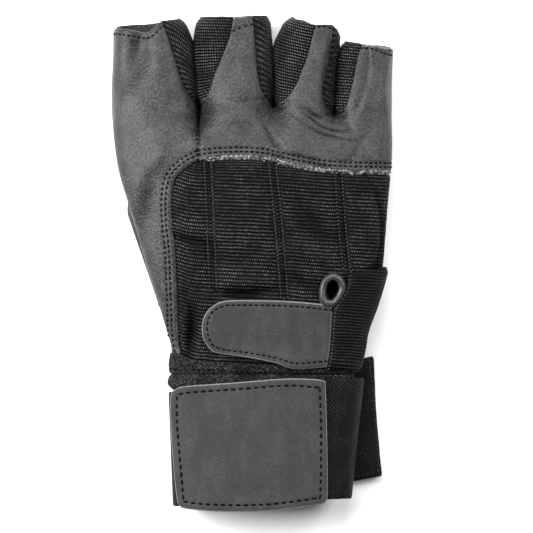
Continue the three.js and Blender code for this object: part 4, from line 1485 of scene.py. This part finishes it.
@dataclass(frozen=True)
class HandCover:
    """Leather, knit and webs of the hand, with the thumb sleeve.

    Attributes:
        leather_wall: Thickness of the leather in mm.
        knit_wall: Thickness of the knit in mm.
        sleeve_wall: Thickness of the thumb sleeve in mm.
        panels: Grids of the panels.
    """

    leather_wall: float = 1.8
    knit_wall: float = 1.7
    sleeve_wall: float = 1.4
    panels: HandPanels = HandPanels()

    def thumb_side(self, finishes: Finishes) -> bpy.types.Object:
        """Leather of the thumb side and the index finger's top."""
        relief = Relief(folds=folds_of(THUMB_SIDE_FOLDS), grooves=LEATHER_SEAMS, tuck=0.25, tuck_width=0.7,
                        hem=0.3)
        piece = SheetPiece("thumb_side_panel", "thumb_side_leather", "leather", self.leather_wall,
                           relief=relief, raw=())
        return piece.make(Skin.from_blocks([self.panels.thumb_side()]).relaxed(12), finishes.leather)

    def knuckles(self, finishes: Finishes) -> bpy.types.Object:
        """Leather of the knuckles and the other fingers' tops."""
        relief = Relief(folds=folds_of(KNUCKLE_FOLDS), grooves=LEATHER_SEAMS, tuck=0.2, tuck_width=0.6,
                        hem=0.15)
        piece = SheetPiece("knuckle_panel", "knuckle_leather", "leather", self.leather_wall, relief=relief,
                           raw=(KNUCKLE_HEM, *TIP_CUTS))
        return piece.make(Skin.from_blocks(self.panels.knuckles()).relaxed(45), finishes.leather)

    def webs(self, finishes: Finishes) -> list[bpy.types.Object]:
        """Knit between the fingers."""
        made = []
        for number, node in enumerate(("index_middle_web", "middle_ring_web", "ring_little_web")):
            piece = SheetPiece(f"{node}_knit", node, "knit", self.knit_wall,
                               relief=Relief(ripple=0.15, tuck=0.5, tuck_width=1.0, puff=0.9))
            made.append(piece.make(Skin.from_blocks([self.panels.web(number)]), finishes.web))
        return made

    def palm(self, finishes: Finishes) -> bpy.types.Object:
        """Leather under the hand and the fingers."""
        piece = SheetPiece("palm_panel", "palm_leather", "leather", self.leather_wall, Hold.LAID, (),
                           Relief(ripple=0.1), ())
        return piece.make(Skin.from_blocks(self.panels.palm()).relaxed(20), finishes.leather)

    def back(self, finishes: Finishes) -> bpy.types.Object:
        """Knit of the back of the hand, open at the keyhole."""
        relief = Relief(folds=folds_of(BACK_FOLDS), channels=CHANNELS, ripple=0.25, tuck=0.8,
                        tuck_width=1.2)
        skin = Skin.from_blocks([self.panels.back()])
        hole = inset(smooth_path(plan(VENT_HOLE), 60), 1.6)[:-1]
        centres = skin.points[skin.faces].mean(axis=1)
        skin.faces = skin.faces[~inside(centres[:, :2], hole)]
        used = np.unique(skin.faces)
        number = np.zeros(len(skin.points), int)
        number[used] = np.arange(len(used))
        skin = Skin(skin.points[used], number[skin.faces], skin.run[used], skin.cross[used])
        piece = SheetPiece("back_knit", "back_panel", "knit", self.knit_wall, relief=relief)
        return piece.make(skin, finishes.knit)

    def thumb_sleeve(self, finishes: Finishes) -> bpy.types.Object:
        """Sleeve of the thumb, folded under the palm."""
        piece = SheetPiece("thumb_sleeve_panel", "thumb_sleeve", "leather", self.sleeve_wall, Hold.FOLDED,
                           relief=Relief(ripple=0.1), raw=())
        return piece.make(Skin.from_blocks([self.panels.stall()], ring=True), finishes.leather)


@dataclass(frozen=True)
class WristWrap:
    """Cuff, closure and strap of the wrist.

    Attributes:
        overlay_wall: Thickness of the tab and the flap in mm.
        overlay_rise: How far the tab and the flap stand off the hand, in mm.
        lining_wall: Thickness of the keyhole's lining in mm.
        cuff_wall: Thickness of the cuff in mm.
        strap_fill: Share of its flat rectangle that the strap fills.
        panels: Grids of the cuff and the flap.
        bands: Grids of the strap, patch and tab.
    """

    overlay_wall: float = 1.7
    overlay_rise: float = 2.0
    lining_wall: float = 1.0
    cuff_wall: float = 1.8
    strap_fill: float = 0.985
    panels: HandPanels = HandPanels()
    bands: StrapPanels = StrapPanels()

    def tab(self, finishes: Finishes) -> bpy.types.Object:
        """Nubuck closure tab."""
        piece = SheetPiece("closure_tab_panel", "closure_tab", "nubuck", self.overlay_wall, Hold.LAID,
                           ("back_panel",), Relief(ripple=0.08, grooves=TAB_SEAMS, tuck=0.3, hem=0.12))
        return piece.make(Skin.from_blocks([self.bands.tab()]), finishes.nubuck, self.overlay_rise)

    def flap(self, finishes: Finishes) -> bpy.types.Object:
        """Ribbed elastic flap at the little finger's side."""
        piece = SheetPiece("side_flap_elastic", "side_flap", "elastic", self.overlay_wall, Hold.STRETCHED,
                           ("back_panel",), Relief(ripple=0.2, hem=0.55))
        return piece.make(Skin.from_blocks([self.panels.flap()]), finishes.ribbed, self.overlay_rise)

    def keyhole(self, finishes: Finishes) -> bpy.types.Object:
        """Smooth lining round the keyhole."""
        outer = inset(smooth_path(plan(VENT_EDGE), 73), -0.1)[:-1]
        inner = inset(smooth_path(plan(VENT_HOLE), 73), 1.35)[:-1]
        rows = []
        for s in np.linspace(0, 1, 12):
            place = outer + (inner - outer) * s
            ring = FORM.above(place[:, 0], place[:, 1])
            ring[:, 2] += 1.9 * math.sin(math.pi * (0.12 + 0.6 * s)) - 3.6 * s**5
            rows.append(ring)
        piece = SheetPiece("keyhole_lining_ring", "keyhole_lining", "smooth_leather", self.lining_wall,
                           Hold.STRETCHED, ("back_panel",), Relief(ripple=0.0, tuck=0.1))
        return piece.make(Skin.from_blocks([np.array(rows)], ring=True), finishes.smooth)

    def cuff(self, finishes: Finishes) -> bpy.types.Object:
        """Knit cuff under the strap."""
        bands = ((-0.038, 3.6, 0.8), (-0.038, 0.6, -0.8), (0.024, 2.6, 0.8))
        piece = SheetPiece("wrist_cuff_knit", "wrist_cuff", "loop_knit", self.cuff_wall,
                           relief=Relief(ripple=0.2, bands=bands, tuck=0.15, tuck_width=0.5))
        return piece.make(Skin.from_blocks([self.panels.cuff()], ring=True), finishes.loop_knit)

    def strap(self, finishes: Finishes) -> bpy.types.Object:
        """Elastic strap wound round the wrist."""
        piece = SheetPiece("wrist_strap_elastic", "wrist_strap", "elastic", STRAP_THICKNESS, Hold.FOLDED,
                           ("wrist_cuff",), Relief(ripple=0.0, tuck=0.25, tuck_width=0.7), fill=self.strap_fill)
        grid = self.bands.strap()[::-1]
        middle = grid[len(grid) // 2]
        length = float(np.linalg.norm(np.diff(middle, axis=0), axis=1).sum())
        return piece.make(Skin.from_blocks([grid]), finishes.elastic, STRAP_THICKNESS / 2, length)

    def patch(self, finishes: Finishes) -> bpy.types.Object:
        """Bare nubuck patch on the strap."""
        piece = SheetPiece("strap_patch_panel", "strap_patch", "nubuck", PATCH_THICKNESS, Hold.LAID,
                           ("wrist_strap",), Relief(ripple=0.08, grooves=PATCH_SEAMS, tuck=0.25, hem=0.1))
        return piece.make(Skin.from_blocks([self.bands.patch()]), finishes.nubuck)


# Height in mm from which stitches are dropped on the pieces
DROP_HEIGHT = 60.0


@dataclass(frozen=True)
class Stitching:
    """Rows of sewn thread laid on the finished pieces.

    Attributes:
        name: Name of the piece.
        seams: Rows to sew.
        pitch: Distance between stitches in mm.
        length: Length of one stitch in mm.
        width: Thickness of the thread in mm.
        scatter: How far each one turns at random, in radians.
        rise: Height above the surface in mm.
        uneven: How much the sizes of the stitches vary, as a share.
    """

    name: str
    seams: tuple[SeamLine, ...]
    pitch: float = 2.1
    length: float = 1.6
    width: float = 0.62
    scatter: float = 0.05
    rise: float = 0.06
    uneven: float = 0.1

    def laid(self, surface: BVHTree) -> tuple[list[tuple[float, ...]], list[tuple[int, int]]]:
        """Drops the rows from above onto the pieces.

        Args:
            surface: Faces of the pieces, in metres.

        Returns:
            Points in metres and the edges that join them.
        """
        points, edges = [], []
        for seam in self.seams:
            joined = False
            for x, y in seam.line():
                start = Vector(((x + ORIGIN[0]) * MM, (y + ORIGIN[1]) * MM, DROP_HEIGHT * MM))
                place, facing, _, _ = surface.ray_cast(start, Vector((0, 0, -1)))
                found = place is not None and facing.z > 0.3
                if found:
                    points.append(tuple(place + facing * self.rise * MM))
                    if joined:
                        edges.append((len(points) - 2, len(points) - 1))
                joined = found
        return points, edges

    def tree(self, material: bpy.types.Material) -> bpy.types.GeometryNodeTree:
        """Builds the node tree that turns a line into stitches."""
        tree = bpy.data.node_groups.new(f"{self.name}_rows", "GeometryNodeTree")
        ports = tree.interface
        ports.new_socket("Geometry", in_out="INPUT", socket_type="NodeSocketGeometry")
        for label in ("Pitch", "Stitch Length", "Thread Width", "Scatter", "Unevenness"):
            ports.new_socket(label, in_out="INPUT", socket_type="NodeSocketFloat")
        ports.new_socket("Seed", in_out="INPUT", socket_type="NodeSocketInt")
        ports.new_socket("Geometry", in_out="OUTPUT", socket_type="NodeSocketGeometry")
        add, link = tree.nodes.new, tree.links.new
        entry, leave = add("NodeGroupInput"), add("NodeGroupOutput")
        curve, points = add("GeometryNodeMeshToCurve"), add("GeometryNodeCurveToPoints")
        points.mode = "LENGTH"
        ball, shape, size = (
            add("GeometryNodeMeshUVSphere"), add("GeometryNodeTransform"), add("ShaderNodeCombineXYZ"))
        for label, value in (("Segments", 8), ("Rings", 6), ("Radius", 0.5)):
            ball.inputs[label].default_value = value
        turn, wobble = add("FunctionNodeAlignRotationToVector"), add("FunctionNodeRandomValue")
        turn.axis = "X"
        wobble.data_type = "FLOAT"
        for socket, operation in (("Min", "SUBTRACT"), ("Max", "ADD")):
            limit = add("ShaderNodeMath")
            limit.operation = operation
            limit.inputs[0].default_value = 1.0
            link(entry.outputs["Unevenness"], limit.inputs[1])
            port = next(port for port in wobble.inputs if port.name == socket and port.enabled)
            link(limit.outputs["Value"], port)
        copies, solid, smooth, paint = (
            add("GeometryNodeInstanceOnPoints"), add("GeometryNodeRealizeInstances"),
            add("GeometryNodeSetShadeSmooth"), add("GeometryNodeSetMaterial"))
        paint.inputs["Material"].default_value = material
        spread, back, jitter, mixed = (
            add("ShaderNodeCombineXYZ"), add("ShaderNodeVectorMath"), add("FunctionNodeRandomValue"),
            add("FunctionNodeRotateRotation"))
        back.operation = "SCALE"
        back.inputs["Scale"].default_value = -1.0
        jitter.data_type = "FLOAT_VECTOR"
        link(next(port for port in wobble.outputs if port.enabled), copies.inputs["Scale"])
        for source, leaving, target, entering in (
                (entry, "Geometry", curve, "Mesh"), (curve, "Curve", points, "Curve"),
                (entry, "Pitch", points, "Length"), (entry, "Stitch Length", size, "X"),
                (entry, "Thread Width", size, "Y"), (entry, "Thread Width", size, "Z"),
                (ball, "Mesh", shape, "Geometry"), (size, "Vector", shape, "Scale"),
                (entry, "Seed", wobble, "Seed"), (points, "Tangent", turn, "Vector"),
                (points, "Points", copies, "Points"), (shape, "Geometry", copies, "Instance"),
                (entry, "Scatter", spread, "X"), (entry, "Scatter", spread, "Y"),
                (entry, "Scatter", spread, "Z"), (spread, "Vector", back, 0),
                (back, "Vector", jitter, "Min"), (spread, "Vector", jitter, "Max"),
                (entry, "Seed", jitter, "Seed"), (turn, "Rotation", mixed, "Rotation"),
                (jitter, "Value", mixed, "Rotate By"), (mixed, "Rotation", copies, "Rotation"),
                (copies, "Instances", solid, "Geometry"), (solid, "Geometry", smooth, "Geometry"),
                (smooth, "Geometry", paint, "Geometry"), (paint, "Geometry", leave, "Geometry")):
            link(source.outputs[leaving], target.inputs[entering])
        return tree

    def sew(self, pieces: Sequence[bpy.types.Object], material: bpy.types.Material) -> bpy.types.Object:
        """Makes the stitches as one plain mesh.

        Args:
            pieces: Pieces that the rows lie on.
            material: Finish of the thread.

        Returns:
            The finished object.
        """
        points, edges = self.laid(surface_of(pieces))
        lines = bpy.data.meshes.new(f"{self.name}_lines")
        lines.from_pydata(points, edges, [])
        draft = bpy.data.objects.new(f"{self.name}_draft", lines)
        bpy.context.scene.collection.objects.link(draft)
        modifier = draft.modifiers.new("rows", "NODES")
        modifier.node_group = self.tree(material)
        wanted = {"Pitch": self.pitch * MM, "Stitch Length": self.length * MM, "Thread Width": self.width * MM,
                  "Scatter": self.scatter, "Unevenness": self.uneven, "Seed": 7}
        for item in modifier.node_group.interface.items_tree:
            if item.in_out == "INPUT" and item.name in wanted:
                modifier[item.identifier] = wanted[item.name]
        graph = bpy.context.evaluated_depsgraph_get()
        mesh = bpy.data.meshes.new_from_object(draft.evaluated_get(graph), depsgraph=graph)
        mesh.name = self.name
        bpy.data.objects.remove(draft)
        piece = bpy.data.objects.new(self.name, mesh)
        bpy.context.scene.collection.objects.link(piece)
        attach(piece, "root")
        LOG.info("%s: %d faces", self.name, len(mesh.polygons))
        return piece


# Lights: name, place in m, size in m, power in W
LIGHTS = (
    ("key_light", (-0.12, 0.70, 0.95), 0.8, 17.0),
    ("fill_light", (0.62, 0.25, 0.55), 0.4, 7.0),
    ("left_light", (-0.58, 0.08, 0.50), 0.35, 12.0),
)


@dataclass(frozen=True)
class Studio:
    """Pale floor, soft lights and the camera straight above.

    Attributes:
        view_x: X at the middle of the picture in mm.
        view_y: Y at the middle of the picture in mm.
        view_width: Width of the picture in mm, at the middle of the glove's height.
        distance: Height of the camera above the middle of the glove in mm.
    """

    view_x: float = 5.5
    view_y: float = -1.24
    view_width: float = 213.2
    distance: float = 2500.0

    def floor(self, finishes: Finishes) -> None:
        """Lays the floor."""
        bpy.ops.mesh.primitive_plane_add(size=4.0, location=(0, 0, -0.0002))
        ground = bpy.context.object
        ground.name = "studio_floor"
        ground.data.materials.append(finishes.floor)

    def light(self, name: str, place: tuple[float, float, float], size: float, power: float) -> None:
        """Hangs an area light that faces the glove."""
        lamp = bpy.data.lights.new(name, "AREA")
        lamp.size = size
        lamp.energy = power
        holder = bpy.data.objects.new(name, lamp)
        holder.location = place
        holder.rotation_euler = (-Vector(place)).to_track_quat("-Z", "Y").to_euler()
        bpy.context.scene.collection.objects.link(holder)

    def lights(self) -> None:
        """Hangs the lights and sets the pale surroundings."""
        for name, place, size, power in LIGHTS:
            self.light(name, place, size, power)
        world = bpy.data.worlds.new("studio")
        world.use_nodes = True
        world.node_tree.nodes["Background"].inputs[0].default_value = (1, 1, 1, 1)
        world.node_tree.nodes["Background"].inputs[1].default_value = 0.20
        bpy.context.scene.world = world
        bpy.context.scene.view_settings.view_transform = "Standard"

    def camera(self) -> None:
        """Sets the camera straight above the glove."""
        lens = bpy.data.cameras.new("camera")
        lens.lens = lens.sensor_width * self.distance / self.view_width
        holder = bpy.data.objects.new("camera", lens)
        holder.location = (self.view_x * MM, self.view_y * MM, (self.distance + GLOVE_HEIGHT / 2) * MM)
        bpy.context.scene.collection.objects.link(holder)
        bpy.context.scene.camera = holder


def surface_of(pieces: Sequence[bpy.types.Object]) -> BVHTree:
    """Search tree of the faces of some pieces."""
    points, faces = [], []
    for piece in pieces:
        start = len(points)
        points += [tuple(corner.co) for corner in piece.data.vertices]
        faces += [[start + k for k in face.vertices] for face in piece.data.polygons]
    return BVHTree.FromPolygons(points, faces)


def main() -> None:
    """Builds the dressed glove in its studio."""
    logging.basicConfig(level=logging.INFO, format="%(message)s")
    finishes = Finishes()
    hand = HandCover()
    wrist = WristWrap()
    for build in (hand.palm, hand.webs, hand.thumb_sleeve, wrist.keyhole):
        build(finishes)
    cuff, strap = wrist.cuff(finishes), wrist.strap(finishes)
    Stitching("cuff_stitches", CUFF_SEAMS, 1.9, 1.4, 0.6).sew([cuff], finishes.thread)
    Stitching("strap_stitches", STRAP_SEAMS, 1.9, 1.4, 0.5).sew([strap], finishes.sewn)
    leather, knit = [hand.thumb_side(finishes), hand.knuckles(finishes)], hand.back(finishes)
    Stitching("leather_stitches", LEATHER_SEAMS, 2.1, 1.45, 0.8, 0.08).sew(leather, finishes.thread)
    Stitching("hem_fuzz", FUZZ_SEAMS, 0.42, 1.1, 0.26, 1.5, 0.15, 0.7).sew(
        [*leather, knit], finishes.fuzz)
    tab, flap, patch = wrist.tab(finishes), wrist.flap(finishes), wrist.patch(finishes)
    Stitching("back_stitches", KNIT_SEAMS, 1.45, 1.2, 0.95, 0.15, 0.1).sew([knit], finishes.sewn)
    Stitching("tab_stitches", TAB_SEAMS, 2.3, 1.6, 0.72).sew([tab], finishes.thread)
    Stitching("flap_stitches", FLAP_SEAMS, 1.6, 1.3, 0.75, 0.12).sew([flap], finishes.sewn)
    Stitching("patch_stitches", PATCH_SEAMS, 3.0, 2.1, 0.85, 0.06, 0.14).sew([patch], finishes.thread)
    studio = Studio()
    studio.floor(finishes)
    studio.lights()
    studio.camera()


if __name__ == "__main__":
    main()
